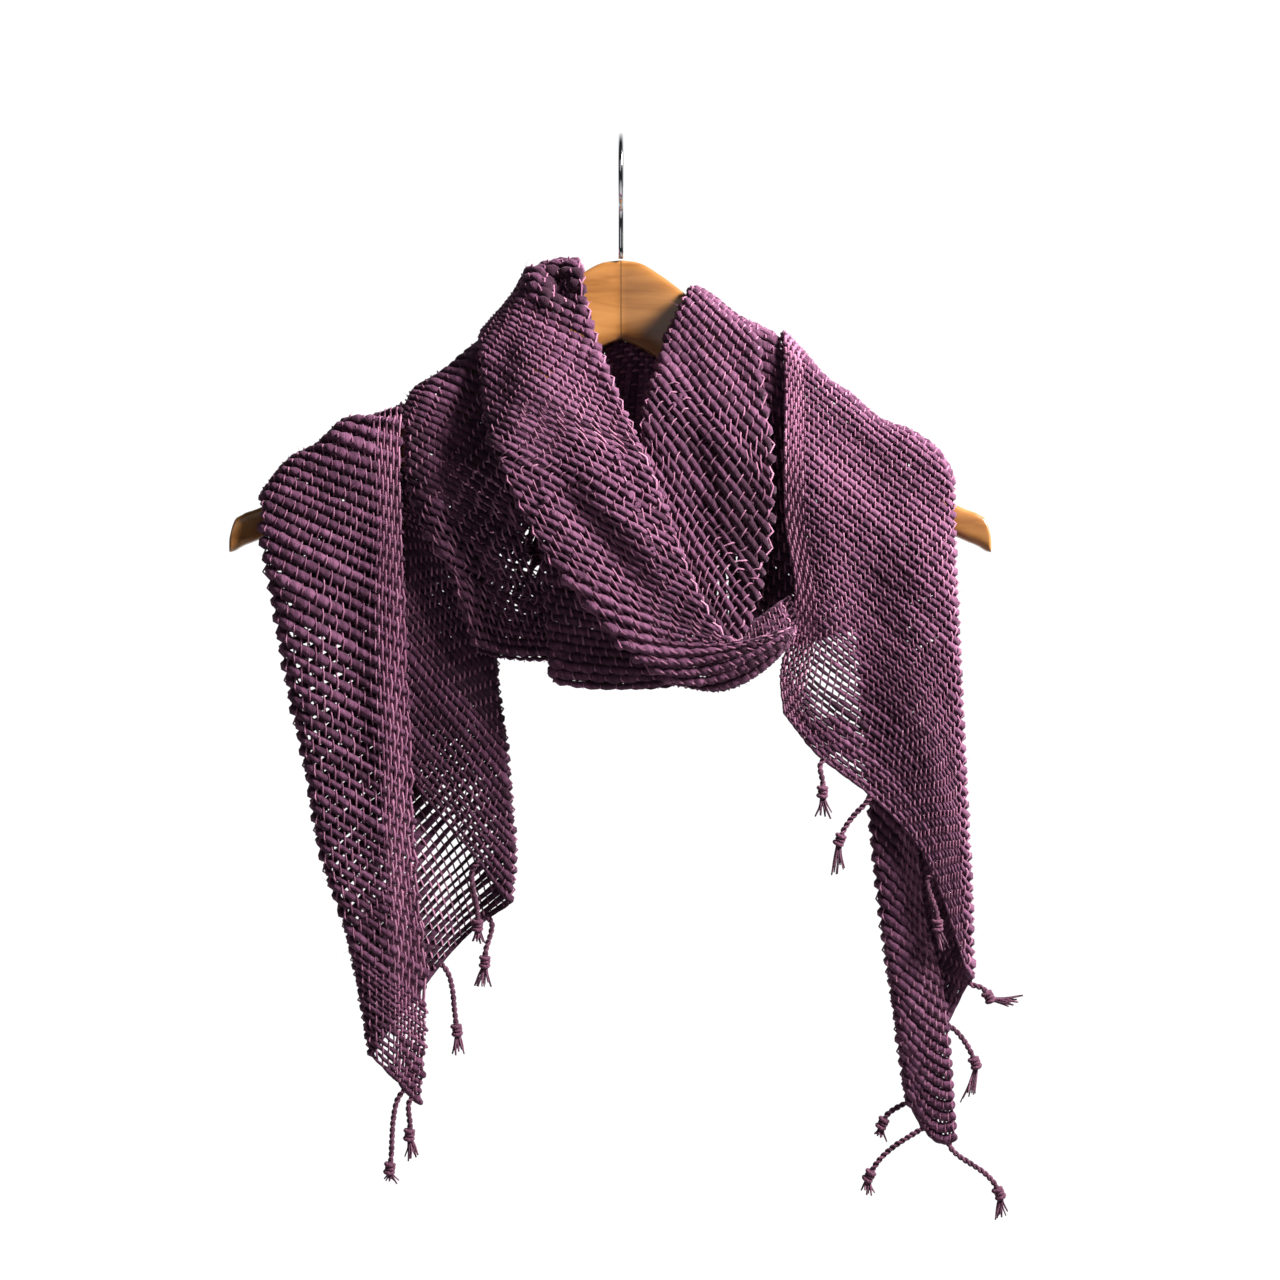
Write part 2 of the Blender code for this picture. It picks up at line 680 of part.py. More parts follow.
def make_cloth(name, grid):
    points, faces = sheet_of(grid)
    cloth = make(name, points, faces, material(name, CLOTH_COLOR, 0.9))
    wall = cloth.modifiers.new("wall", "SOLIDIFY")
    wall.thickness = WALL * MM
    wall.offset = 0.0


def hem_point(tail, across):
    """A point of the hem, by its share from the front selvedge, and the way the cloth runs there."""
    last = len(tail.rows) - 1.0
    fine = (24, 24, 24)
    hem = wrapped(tail, tail_section(tail, row_at(tail.rows, last), fine, 12))
    above = wrapped(tail, tail_section(tail, row_at(tail.rows, last - 0.1), fine, 12))
    lengths = np.concatenate([[0.0], np.cumsum(np.linalg.norm(np.diff(hem, axis=0), axis=1))])

    def at(points, share):
        return np.array([np.interp(share * lengths[-1], lengths, points[:, k]) for k in range(3)])

    point = at(hem, across)
    edge = at(hem, across + 0.008) - at(hem, across - 0.008)
    edge /= np.linalg.norm(edge)
    run = point - at(above, across)
    run -= edge * run.dot(edge)
    return point, run / np.linalg.norm(run)


def make_tassel(tail, tassel):
    """Cord and knot as one tube, with the strands fused into the knot."""
    hem, run = hem_point(tail, tassel.across)
    start = hem + run * (SEAM_GAP + 0.2)
    knot = np.array([tassel.knot_x, hem[1] + tassel.lift, tassel.knot_z])
    reach = np.linalg.norm(knot - start)
    drop = np.array([0.0, 0.0, -1.0])
    hang = (knot - start) / reach + 0.8 * drop
    hang /= np.linalg.norm(hang)
    curve = [start + run * 2.5, start + run * (2.5 + 0.25 * reach), knot - hang * 0.35 * reach, knot]
    path = [start] + [bezier(curve, k / CORD_STEPS) for k in range(CORD_STEPS)]
    radii = [CORD_RADIUS] * len(path)
    for part, swell in ((0.0, 0.62), (0.3, 1.0), (0.7, 1.0), (1.0, 0.7)):
        path.append(knot + hang * KNOT_LENGTH * part)
        radii.append(KNOT_RADIUS * swell)
    look = material(tassel.name, TASSEL_COLOR, 0.9)
    points, faces = tube(path, radii, CORD_SIDES)
    cord = make(tassel.name, points, outward(points, faces), look)

    root = knot + hang * KNOT_LENGTH * 0.55
    tip = np.array([tassel.end_x, knot[1], tassel.end_z])
    side = np.cross(hang, [0.0, 1.0, 0.0])
    side /= np.linalg.norm(side)
    other = np.cross(hang, side)
    all_points = np.empty((0, 3))
    all_faces = []
    for k in range(STRANDS):
        angle = 2 * math.pi * (k + 0.35) / STRANDS
        away = math.cos(angle) * side + 0.7 * math.sin(angle) * other
        first = root + away * STRAND_ROOT_RADIUS
        reach_out = (0.85 + 0.3 * ((k * 7) % 4) / 3) * (tip - root)
        strand = [
            first,
            first + reach_out * 0.5 + away * tassel.splay * 0.35,
            first + reach_out + away * tassel.splay,
        ]
        points, faces = tube(strand, [STRAND_RADIUS] * 2 + [STRAND_RADIUS * 0.7], 3)
        faces = outward(points, faces)
        all_faces += [[len(all_points) + n for n in face] for face in faces]
        all_points = np.concatenate([all_points, points])
    strands = make(tassel.name + "_strands", all_points, all_faces, look)
    strands.hide_render = True
    strands.display_type = "WIRE"
    joined = cord.modifiers.new("strands", "BOOLEAN")
    joined.operation = "UNION"
    joined.solver = "EXACT"
    joined.use_self = True
    joined.object = strands


for left_over in list(bpy.data.objects):
    bpy.data.objects.remove(left_over, do_unlink=True)

grids = {sheet.name: tail_grid(sheet, TAIL_SPANS, ROLL_STEPS) for sheet in TAILS}
for sheet in LOOPS:
    grids[sheet.name] = loop_grid(sheet, sheet.spans, ROLL_STEPS)

share = np.linspace(0.0, 1.0, BACK_SPANS + 1)
front = TAIL_SPANS[0] + 1
left_arm = end_rows(grids["left_tail"][0, :front], grids["left_tail"][1, :front], share, BENT_SEAM_GAP)
right_arm = end_rows(grids["right_tail"][0, :front], grids["right_tail"][1, :front], share, BENT_SEAM_GAP)
left_shoulder = end_rows(grids["neck_loop"][0, ::-1], grids["neck_loop"][1, ::-1], share, BENT_SEAM_GAP)
right_shoulder = end_rows(grids["right_neck"][0], grids["right_neck"][1], share, SEAM_GAP)
grids["back_left"] = back_grid(BACK_LEFT, left_arm, right_shoulder, share)
grids["back_right"] = back_grid(BACK_RIGHT, left_shoulder, right_arm, share)
for name, grid in grids.items():
    make_cloth(name, grid)

make_hanger()
make_hook()
for one in LEFT_TASSELS:
    make_tassel(LEFT_TAIL, one)
for one in RIGHT_TASSELS:
    make_tassel(RIGHT_TAIL, one)
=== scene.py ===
"""Looks of a cotton scarf wound on a wooden coat hanger: woven cloth, tassels, wood, wire, light and camera.

Each stretch of cloth is woven here from its own yarns, laid along the same sections as its solid.
Sizes are in millimetres and become metres when a piece is made.
"""

import math
from collections import namedtuple

import bpy
import mathutils
import numpy as np
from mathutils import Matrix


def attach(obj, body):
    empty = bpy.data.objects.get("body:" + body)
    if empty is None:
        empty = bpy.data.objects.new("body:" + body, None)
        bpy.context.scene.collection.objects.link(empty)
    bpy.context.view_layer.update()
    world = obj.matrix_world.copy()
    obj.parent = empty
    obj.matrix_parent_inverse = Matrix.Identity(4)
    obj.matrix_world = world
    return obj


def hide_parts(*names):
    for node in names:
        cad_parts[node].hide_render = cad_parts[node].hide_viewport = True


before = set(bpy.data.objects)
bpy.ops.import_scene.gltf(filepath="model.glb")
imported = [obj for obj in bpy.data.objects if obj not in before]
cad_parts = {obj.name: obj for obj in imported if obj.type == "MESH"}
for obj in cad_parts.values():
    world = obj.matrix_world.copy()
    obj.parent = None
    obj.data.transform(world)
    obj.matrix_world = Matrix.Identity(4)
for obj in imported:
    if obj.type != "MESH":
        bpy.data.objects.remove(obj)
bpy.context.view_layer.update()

MM = 0.001

# Cloth form, as in the solids
WALL = 2.0
BENT_SEAM_GAP = 2.0
SEAM_RUN = 10.0
DEPTH_DROP = 70.0
EDGE_ROLL = 3.0
LEAST_TURN_UNDER = 2.5

# Hanger and hook, as in the solids
ARM_REACH = 222.0
ARM_BEND = 22.0
ARM_THICKNESS = 12.0
ARM_LEFT_SCALE = 229.0 / 222.0
ARM_RIGHT_SCALE = 217.0 / 222.0
TIP_LENGTH = 17.0
CENTRE_SET_BACK = 5.0
CENTRE_REACH = 45.0
ARM_STATIONS = 60
TIP_STATIONS = 14
ARM_SIDES = 40
ROUND_EDGES = 0.6
FLAT_FACES = 0.45
WIRE_RADIUS = 1.5
WIRE_SIDES = 20
BEND_STEPS = 16
CROWN_STEPS = 80
CROWN_RADIUS = 21.5
SHANK_FOOT_Z = -71.6
SHANK_BEND_Z = -57.0
JOIN_ANGLE = -158.0
TIP_ANGLE = 112.0

# Sections that the weave is laid along
SECTIONS_A_ROW = 8
TAIL_SPANS = (30, 36, 36)
TAIL_ROLL_STEPS = 10
LOOP_SPANS = 30
LOOP_ROLL_STEPS = 8
BACK_COLUMNS = 41
FINE_COLUMNS = 161
HEM_SPANS = (24, 24, 24)
HEM_ROLL_STEPS = 12
HEM_STEP = 0.008
LEAST_CURL = 0.42

# Weave; a fill is a weft's radius over its pitch
SEED = 7
SEAM_SHARE = 0.3
WARP_PITCH = 4.15
WARP_RADIUS = 0.66
WEFT_SIDES = 6
WARP_SIDES = 3
SELVEDGE_WARPS = 9
SELVEDGE_PITCH = 2.1
SELVEDGE_MARGIN = 0.6
SELVEDGE_GAP = 1.2
SELVEDGE_THICKER = 1.65
DENSE_PITCH = 2.5
DENSE_WEFT = 0.66
LEAST_WEFT = 0.8
MOST_WEFT = 4.0
CREST_INNER_WEFT = 1.0
INNER_WEFT = 3.0
CREST_LUMP = 0.25
INNER_FILL = 0.56
FOLD_FILL = 0.14
OVER_WARP = 1.05
UNDER_WARP = 0.85
UNDER_INNER_WARP = 0.94
BETWEEN_WARPS = 1.04
WEFT_WAVE = 0.5
WEFT_SWAY = 0.65
WEFT_LIFT = 0.25
WARP_SWAY = 0.3
WARP_ZIGZAG = 0.22
WARP_OVER = 0.8
WARP_PROUD = 0.9
OVER_TOP = 50.0
ROLL_REACH = 7.0
ROLL_INWARD = 0.35
SCALLOP_WEFTS = 3.0
SCALLOP_WARPS = 3.5
SCALLOP_DROP = 180.0
SCALLOP_EASE = 250.0
WOOD_REACH = 18.0
WOOD_EASE = 14.0

# Columns of a woven grid after x, y and z
INNER, BELOW_CREST, FROM_LEFT, FROM_RIGHT, FROM_TOP = range(3, 8)
HELD_SIDE = 0.3
HELD_TOP = 0.5

# Unevenness of the yarns, as shares of their size or tone
SLUB = 0.24
SLUB_LOST_CLOSE = 0.12
FLECK = 0.10
FLECK_LOST_CLOSE = 0.05
WEFT_SPREAD = 0.06
SCALLOP_SLUB = 0.12
WARP_SLUB = 0.15
WARP_TONE = 0.3
TONE_DRIFT = 0.22
TONE_FLECK = 0.14
TONE_SPREAD = 0.10
# Painted shade: the inner layers of each fold are coloured darker by this much
INNER_SHADE = 0.22

# Loose fibres
FUZZ_SHARE = 0.06
FUZZ_RADIUS = 0.10
FUZZ_LENGTHS = (2.0, 6.5)
FUZZ_BEND = 0.45
FUZZ_LEAN = 0.8
FUZZ_SCATTER = 0.7
FUZZ_RINGS = 5
FUZZ_TONE = 0.4

# Tassels
CORD_INSIDE = 1.0
CORD_STRAIGHT = 2.5
CORD_OUTWARD = 0.25
CORD_DOWNWARD = 0.35
CORD_WEIGHT = 0.8
CORD_IN_KNOT = 2.0
CORD_STEPS = 24
CORD_FACING = (0.1, -0.9, 0.3)
LEAST_CORD_RINGS = 30
PLY_RADIUS = 0.95
PLY_OFFSET = 0.85
PLY_TURN = 7.0
PLY_STEP = 0.8
PLY_SIDES = 6
PLY_SLUB = 0.12
PLY_TONE = 0.25
KNOT_RADIUS = 3.4
KNOT_LENGTH = 7.5
KNOT_TURNS = 2.6
KNOT_RINGS = 44
KNOT_YARN = 1.25
KNOT_SWELL = 0.4
KNOT_SLANT = 0.8
KNOT_SLANT_TURN = 0.7
KNOT_TONE = 0.55
WRAP_START = 0.6
WRAP_INSET = 1.6
CORE_RADIUS = 1.6
CORE_RINGS = 8
CORE_SIDES = 8
CORE_PAST = 0.5
CORE_TONE = 0.3
STRANDS = 9
STRAND_RINGS = 10
STRAND_RADIUS = 0.68
STRAND_SIDES = 4
STRAND_ROOT = 0.7
STRAND_REACH = (0.95, 1.4)
STRAND_APART = 1.2
STRAND_SPLAY = 1.4
STRAND_LATE = 1.4
STRAND_FLATNESS = 0.8
STRAND_CURL = 0.9
STRAND_WAVES = 0.75
STRAND_TAPER = 0.35
STRAND_SIZES = (0.75, 1.2)
STRAND_TONE = 0.55
GOLDEN_TURN = 0.618

# Yarn looks
SHEEN = (0.80, 0.50, 0.70, 1.0)
FIBRES_ALONG = 0.45
FIBRES_ROUND = 11.0
PLY_MARK = 0.10
SHADE_LEVEL = 0.42
# How far the colour level drops to balance the painted light on the yarns' crowns
SHADE_PAINTED_CROWN = 0.7
SHADE_DEPTH = 0.85
RELIEF = 0.0014

Point = namedtuple("Point", "x z")
Arm = namedtuple("Arm", "x top bottom")
Layer = namedtuple("Layer", "crest low")
Crease = namedtuple("Crease", "from_x from_z to_x to_z width height")
TailRow = namedtuple(
    "TailRow", "bow rise fall edge_x edge_z outer_x outer_z inner_x inner_z end_x end_z"
)
LoopRow = namedtuple("LoopRow", "bow depth curl_l curl_r left_x left_z right_x right_z")
BackRow = namedtuple("BackRow", "top_x top_y top_z low_x low_y low_z")
Tail = namedtuple("Tail", "name crest radius layers rows creases")
Loop = namedtuple("Loop", "name crest radius turn rows creases")
Back = namedtuple("Back", "name rows waves amplitude phase")
Tassel = namedtuple("Tassel", "name across knot_x knot_z end_x end_z lift splay")
Turned = namedtuple("Turned", "out back size")
Cloth = namedtuple("Cloth", "pitch fill crest_fill facing scallop roll lean tone flatness ends rests_on")
Tilt = namedtuple("Tilt", "along skew close")
Spot = namedtuple("Spot", "x z wide high amount")
Lump = namedtuple("Lump", "x y z length height phase")


def table(kind, *rows):
    return [kind(*row) for row in rows]


ARM_ROWS = table(
    Arm, (0, -72, -119), (12, -74, -124), (23, -80.5, -131), (39, -92.5, -141), (56, -107, -152),
    (72, -121, -162), (100, -148, -181), (129, -176, -199), (165, -199, -218), (195, -215.5, -234),
    (208, -221.5, -240), (215, -224.5, -243), (220, -230, -246), (222, -238, -246.5),
)
TOP_LINE = [Point(row.x, row.top) for row in ARM_ROWS]
BOTTOM_LINE = [Point(row.x, row.bottom) for row in ARM_ROWS]

LEFT_TAIL = Tail(
    name="left_tail",
    crest=table(Point, (-210, -211), (-195, -192), (-176, -181), (-164, -169), (-146, -166), (-129, -158)),
    radius=14.5,
    layers=[Layer(14.5, 25), Layer(9, 10.5), Layer(11.7, 17.5)],
    rows=table(
        TailRow,
        (0, 0, 0, -129, -120, -196, -98, -137, -118, -180, -145),
        (0, 0, 0, -129, -163, -203, -142, -137, -150, -175, -170),
        (0, 0, 0, -129, -199, -209, -175, -136, -180, -170, -188),
        (0, 0, 0, -128, -236, -210, -206, -118, -210, -165, -204),
        (0, 0, 0, -127, -274, -208, -243, -92, -237, -158, -210),
        (0, 0, 0, -126, -313, -200, -283, -80, -262, -148, -207),
        (0, 0, 0, -124, -355, -192, -329, -74, -290, -142, -222),
        (0, 0, 0, -123, -400, -182, -376, -73, -325, -142, -255),
        (0, 0, 0, -120, -444, -174, -423, -68, -360, -146, -290),
        (0, 2, 0, -116, -485, -160, -466, -65, -395, -150, -308),
        (0, 5, 0, -116, -530, -151, -508, -63, -424, -156, -325),
        (0, 8, 0, -119, -567, -146, -540, -65, -452, -161, -334),
    ),
    creases=table(
        Crease, (-186, -230, -172, -360, 12, 2.5), (-156, -250, -150, -380, 10, -1.8),
        (-137, -260, -136, -520, 9, 2.0), (-98, -320, -84, -420, 10, 1.8),
    ),
)

RIGHT_TAIL = Tail(
    name="right_tail",
    crest=table(
        Point, (87, -113), (96, -115), (108, -128), (119, -141), (135, -152), (149, -165), (173, -176),
        (190, -192), (195, -202),
    ),
    radius=14.5,
    layers=[Layer(14.5, 25), Layer(7.5, 10.5), Layer(11, 17.5)],
    rows=table(
        TailRow,
        (0, 0, 0, 96, -78, 194, -152, 134, -124, 162, -142),
        (0, 0, 0, 96, -115, 194, -195, 134, -175, 163, -200),
        (0, 0, 0, 97, -150, 194, -235, 136, -240, 165, -268),
        (0, 0, 0, 96, -190, 195, -280, 140, -305, 168, -335),
        (3, 0, 0, 97, -230, 197, -325, 144, -370, 172, -400),
        (10, 0, 0, 102, -262, 199, -368, 149, -425, 177, -455),
        (20, 0, 0, 101, -290, 201, -408, 155, -475, 188, -500),
        (26, 0, 4, 94, -316, 203, -448, 161, -518, 192, -545),
        (33, 0, 10, 96, -342, 204, -495, 168, -569, 195, -588),
    ),
    creases=table(
        Crease, (114, -160, 122, -300, 11, 2.5), (142, -240, 150, -350, 12, -1.8),
        (172, -240, 184, -420, 13, 2.5),
    ),
)

NECK_LOOP = Loop(
    name="neck_loop",
    crest=table(
        Point, (-84, -116), (-78, -109), (-64, -93), (-56, -82), (-48, -75.5), (-36, -72), (-26, -72),
        (-20, -73),
    ),
    radius=20.0,
    turn=22.0,
    rows=table(
        LoopRow,
        (0, 40, 0.12, 0.12, -84, -26, -24, -48),
        (0, 40, 0.12, 0.12, -84, -70, -21, -94),
        (0, 42, 0.12, 0.12, -83, -106, -12, -130),
        (0, 46, 0.12, 0.5, -82, -138, 2, -164),
        (0, 49, 0.5, 1.0, -79, -168, 16, -195),
        (0, 51, 1.0, 1.0, -70, -195, 30, -233),
        (0, 53, 1.0, 1.0, -54, -228, 44, -268),
        (0, 54, 1.0, 1.0, -37, -257, 60, -296),
        (-2, 54, 1.0, 0.9, -18, -279, 75, -301),
        (-5, 54, 0.9, 0.7, 0, -301, 87, -295),
        (-8, 53, 0.5, 0.4, 15, -313, 95, -291),
        (-11, 50, 0.2, 0.2, 30, -322, 99, -292),
        (-14, 43, 0.12, 0.12, 38, -323, 100, -295),
        (-12, 35, 0.12, 0.12, 43, -317, 99, -291),
        (-4, 29, 0.12, 0.12, 48, -298, 94, -276),
    ),
    creases=table(
        Crease, (-53, -76, -39, -106, 4, 2.5), (-39, -78, -27, -104, 8, -6.0), (-60, -120, 20, -262, 12, 2.5),
        (-40, -104, 34, -248, 9, -2.0),
    ),
)

RIGHT_NECK = Loop(
    name="right_neck",
    crest=table(Point, (37, -86), (44, -88), (52, -93), (65, -103), (77, -113), (84, -120)),
    radius=18.0,
    turn=18.0,
    rows=table(
        LoopRow,
        (0, 28, 0.12, 0.12, 52, -48, 76, -72),
        (0, 28, 0.12, 0.12, 46, -66, 81, -100),
        (0, 29, 0.12, 0.12, 39, -92, 81, -137),
        (0, 30, 0.3, 0.3, 32, -108, 86, -170),
        (0, 31, 0.7, 0.8, 26, -124, 88, -200),
        (0, 32, 1.0, 1.0, 20, -142, 88, -228),
        (0, 34, 1.0, 1.0, 14, -165, 83, -260),
        (0, 37, 0.5, 0.5, 12, -198, 74, -288),
        (0, 39, 0.12, 0.12, 20, -235, 66, -303),
    ),
    creases=table(Crease, (54, -125, 66, -235, 9, 2.0), (36, -125, 48, -235, 8, -1.5)),
)

LEFT_DRAPE = Loop(
    name="left_drape",
    crest=table(
        Point, (-133, -165), (-129, -163), (-124, -151), (-118, -146.5), (-99, -134), (-87, -124),
        (-62, -104),
    ),
    radius=12.0,
    turn=16.0,
    rows=table(
        LoopRow,
        (0, 28, 0.12, 0.12, -131, -92, -66, -105),
        (0, 28, 0.12, 0.12, -131, -120, -65, -136),
        (0, 28, 0.12, 0.12, -130, -150, -63, -168),
        (0, 29, 0.12, 0.5, -126.5, -180, -61, -201),
        (0, 29, 0.12, 1.0, -125, -206, -57, -236),
        (0, 29, 0.3, 1.0, -116, -232, -50, -262),
        (-1, 29, 0.9, 0.9, -100, -256, -42, -280),
        (-2, 29, 0.3, 0.3, -92, -281, -37, -295),
        (-3, 28, 0.12, 0.12, -86, -300, -34, -304),
        (-3, 25.5, 0.12, 0.12, -83, -304, -34, -308),
        (-2, 23, 0.12, 0.12, -83, -298, -35, -302),
        (0, 22, 0.12, 0.12, -86, -280, -37, -284),
    ),
    creases=table(
        Crease, (-128, -206, -122, -240, 9, -6.0), (-111, -190, -100, -262, 6, 1.5),
        (-82, -190, -70, -280, 9, -1.5),
    ),
)

LOWER_DRAPE = Loop(
    name="lower_drape",
    crest=[Point(-46, -150), Point(0, -150)],
    radius=30.0,
    turn=12.0,
    rows=table(
        LoopRow,
        (0, 38, 0.12, 0.12, -46, -240, 0, -262),
        (0, 39.2, 0.12, 0.12, -46, -263, 14, -280),
        (-1, 40, 0.12, 0.12, -43, -286, 26, -298),
        (-2, 40, 0.12, 0.12, -42, -306, 33, -312),
        (-3, 37, 0.12, 0.12, -40, -320, 39.6, -320),
        (-3, 34, 0.12, 0.12, -36, -324, 39.5, -323),
        (-2, 31.5, 0.12, 0.12, -31, -318, 38, -318),
        (0, 31, 0.12, 0.12, -30, -300, 34, -300),
    ),
    creases=[Crease(-34, -250, -28, -320, 8, 1.5)],
)

RIGHT_FOLD = Loop(
    name="right_fold",
    crest=table(Point, (62, -107.9), (77, -121), (85, -126.5), (91, -121.5), (96, -120)),
    radius=10.0,
    turn=8.0,
    rows=table(
        LoopRow,
        (0, 11, 0.12, 0.12, 60, -80, 93, -92),
        (0, 11, 0.12, 0.12, 63, -110, 94, -125),
        (0, 11, 0.12, 0.12, 70, -150, 97, -165),
        (0, 12, 0.12, 0.12, 78, -200, 100, -215),
        (0, 12, 0.12, 0.12, 80, -250, 104, -262),
        (0, 12, 0.12, 0.12, 82, -290, 102, -296),
    ),
    creases=[],
)

LOOPS = [NECK_LOOP, RIGHT_NECK, LEFT_DRAPE, LOWER_DRAPE, RIGHT_FOLD]
TAILS = [LEFT_TAIL, RIGHT_TAIL]

BACK_LEFT = Back(
    name="back_left",
    rows=table(
        BackRow,
        (-100, 11, -182, -172, 4, -298),
        (-55, 12, -146, -120, 11, -304),
        (0, 12, -114, -34, 14, -302),
        (30, 13, -119, 56, 16, -262),
        (46, 16, -131, 82, 17, -190),
    ),
    waves=3.5,
    amplitude=2.2,
    phase=0.4,
)
BACK_RIGHT = Back(
    name="back_right",
    rows=table(
        BackRow,
        (-18, 25, -132, -100, 23, -228),
        (10, 29, -138, -80, 27, -284),
        (45, 30, -140, 10, 31, -309),
        (74, 26, -144, 110, 24, -300),
        (90, 17, -160, 184, 5, -268),
    ),
    waves=3.0,
    amplitude=2.6,
    phase=1.1,
)
LEFT_TASSELS = table(
    Tassel,
    ("tassel_left_1", 0.010, -123, -583, -122, -598, 0, 2.5),
    ("tassel_left_2", 0.030, -134, -602, -134, -612, -3, 2.5),
    ("tassel_left_3", 0.20, -124, -548, -122, -562, 2, 2.0),
    ("tassel_left_4", 0.345, -97, -524, -96, -539, 0, 2.5),
    ("tassel_left_5", 0.465, -80, -484, -82, -499, 0, 3.5),
    ("tassel_left_6", 0.62, -84, -462, -84, -474, 2, 2.5),
    ("tassel_left_7", 0.83, -139, -404, -139, -418, 0, 2.0),
    ("tassel_left_8", 0.97, -156, -382, -156, -396, 0, 2.0),
)
RIGHT_TASSELS = table(
    Tassel,
    ("tassel_right_1", 0.105, 118, -383, 118, -398, 0, 3.0),
    ("tassel_right_2", 0.212, 129, -411, 126, -430, 0, 2.5),
    ("tassel_right_3", 0.39, 184, -460, 187, -475, 0, 2.0),
    ("tassel_right_4", 0.617, 213, -503, 227, -509, 0, 4.0),
    ("tassel_right_5", 0.71, 206, -542, 204, -562, 0, 3.0),
    ("tassel_right_6", 0.85, 155, -578, 152, -588, 0, 2.5),
    ("tassel_right_7", 0.93, 147, -608, 144, -619, 3, 3.0),
    ("tassel_right_8", 0.985, 219, -617, 221, -631, 0, 2.5),
)

# How each stretch is woven: yarns, slopes, thin spots, spots of painted light and shade, and forms that its
# solid leaves out
SELVEDGE = [Turned(1.0, 0.2, 0.85), Turned(1.7, 0.5, 0.45)]
FOLD = [Turned(1.1, 1.4, 1.0), Turned(1.5, 3.2, 0.9), Turned(1.0, 5.0, 0.6)]
# Each cloth's tone is painted light and shade for the whole stretch: below zero it darkens stretches that lie
# in others' shade, above zero it lightens lit ones
CLOTHS = {
    "left_tail": Cloth(5.3, 0.35, 0.40, -1, 3.4, 0.0, 0.0, -0.12, 0.78, SELVEDGE, "hanger"),
    "right_tail": Cloth(5.2, 0.38, 0.45, 1, 0.8, 0.0, 0.0, 0.06, 0.78, SELVEDGE, "hanger"),
    "neck_loop": Cloth(5.3, 0.375, 0.49, 1, 0.0, 2.6, 0.0, 0.07, 0.78, FOLD, "hanger"),
    "right_neck": Cloth(5.3, 0.345, 0.48, 1, 0.0, 2.0, 0.35, -0.12, 0.78, FOLD, "hanger"),
    "left_drape": Cloth(5.0, 0.44, 0.50, 1, 0.0, 1.5, 0.0, -0.08, 0.78, FOLD, "hanger"),
    "lower_drape": Cloth(4.6, 0.48, 0.50, 1, 0.0, 1.5, 0.0, -0.15, 0.65, FOLD, "neck_loop"),
    "right_fold": Cloth(5.0, 0.44, 0.50, 1, 0.0, 1.0, 0.0, -0.22, 0.65, FOLD, "hanger"),
    "back_left": Cloth(5.2, 0.60, 0.60, 1, 0.6, 0.0, 0.0, -0.06, 0.55, SELVEDGE, "left_tail"),
    "back_right": Cloth(4.8, 0.62, 0.62, 1, 0.6, 0.0, 0.0, -0.06, 0.55, SELVEDGE, "right_tail"),
}
STRAIGHT = [Tilt(0.0, 0.0, 1.0), Tilt(1.0, 0.0, 1.0)]
TILTS = {
    "left_tail": table(
        Tilt, (0.0, -8.0, 1.0), (0.30, -24.0, 1.0), (0.60, -58.0, 1.0), (0.80, -60.0, 1.0),
        (0.92, -14.0, 0.9), (1.0, 0.0, 0.65),
    ),
    "right_tail": table(
        Tilt, (0.0, 0.0, 1.0), (0.40, 0.0, 1.0), (0.65, 0.0, 0.84), (0.90, 0.0, 0.68), (1.0, 0.0, 0.60),
    ),
    "left_drape": table(Tilt, (0.0, 16.0, 1.0), (0.40, 20.0, 1.0), (0.80, 0.0, 1.0)),
    "neck_loop": table(
        Tilt, (0.0, 0.0, 0.62), (0.06, 0.0, 0.84), (0.26, 34.0, 0.92), (0.46, 36.0, 1.0), (0.60, 28.0, 1.0),
        (0.82, 4.0, 1.0),
    ),
}
THINNED = table(
    Spot, (-61, -262, 20, 34, 0.64), (-150, -375, 16, 70, 0.12), (-196, -275, 14, 40, -0.50),
    (-108, -268, 12, 30, 0.28), (-160, -425, 18, 50, 0.20), (-97, -300, 20, 50, 0.15),
    (-98, -432, 26, 50, 0.58), (-137, -533, 9, 12, 0.25), (-128, -556, 14, 9, -0.50),
    (-121, -540, 9, 50, -0.55), (-124, -572, 22, 14, -0.35), (-155, -490, 12, 50, -0.12),
    (118, -323, 13, 12, 0.40), (118, -352, 24, 11, -0.40), (103, -342, 10, 30, -0.45),
    (130, -362, 18, 14, -0.35), (62, -258, 13, 26, 0.32), (72, -304, 34, 12, -0.35), (192, -500, 6, 16, 0.30),
    (172, -530, 24, 80, -0.35), (-60, -309, 45, 9, -0.60), (-10, -323, 60, 8, -0.35),
    (-100, -180, 16, 8, -0.50), (6, -128, 36, 24, -0.50), (-28, -71, 14, 6, 0.18), (-43, -83, 6, 6, -0.25),
    (95, -136, 8, 12, -0.40), (85, -131, 7, 7, -0.60), (18, -320, 30, 12, -0.20), (-134, -570, 12, 12, -0.45),
    (-97, -380, 22, 40, 0.18), (190, -566, 20, 34, -0.50),
)
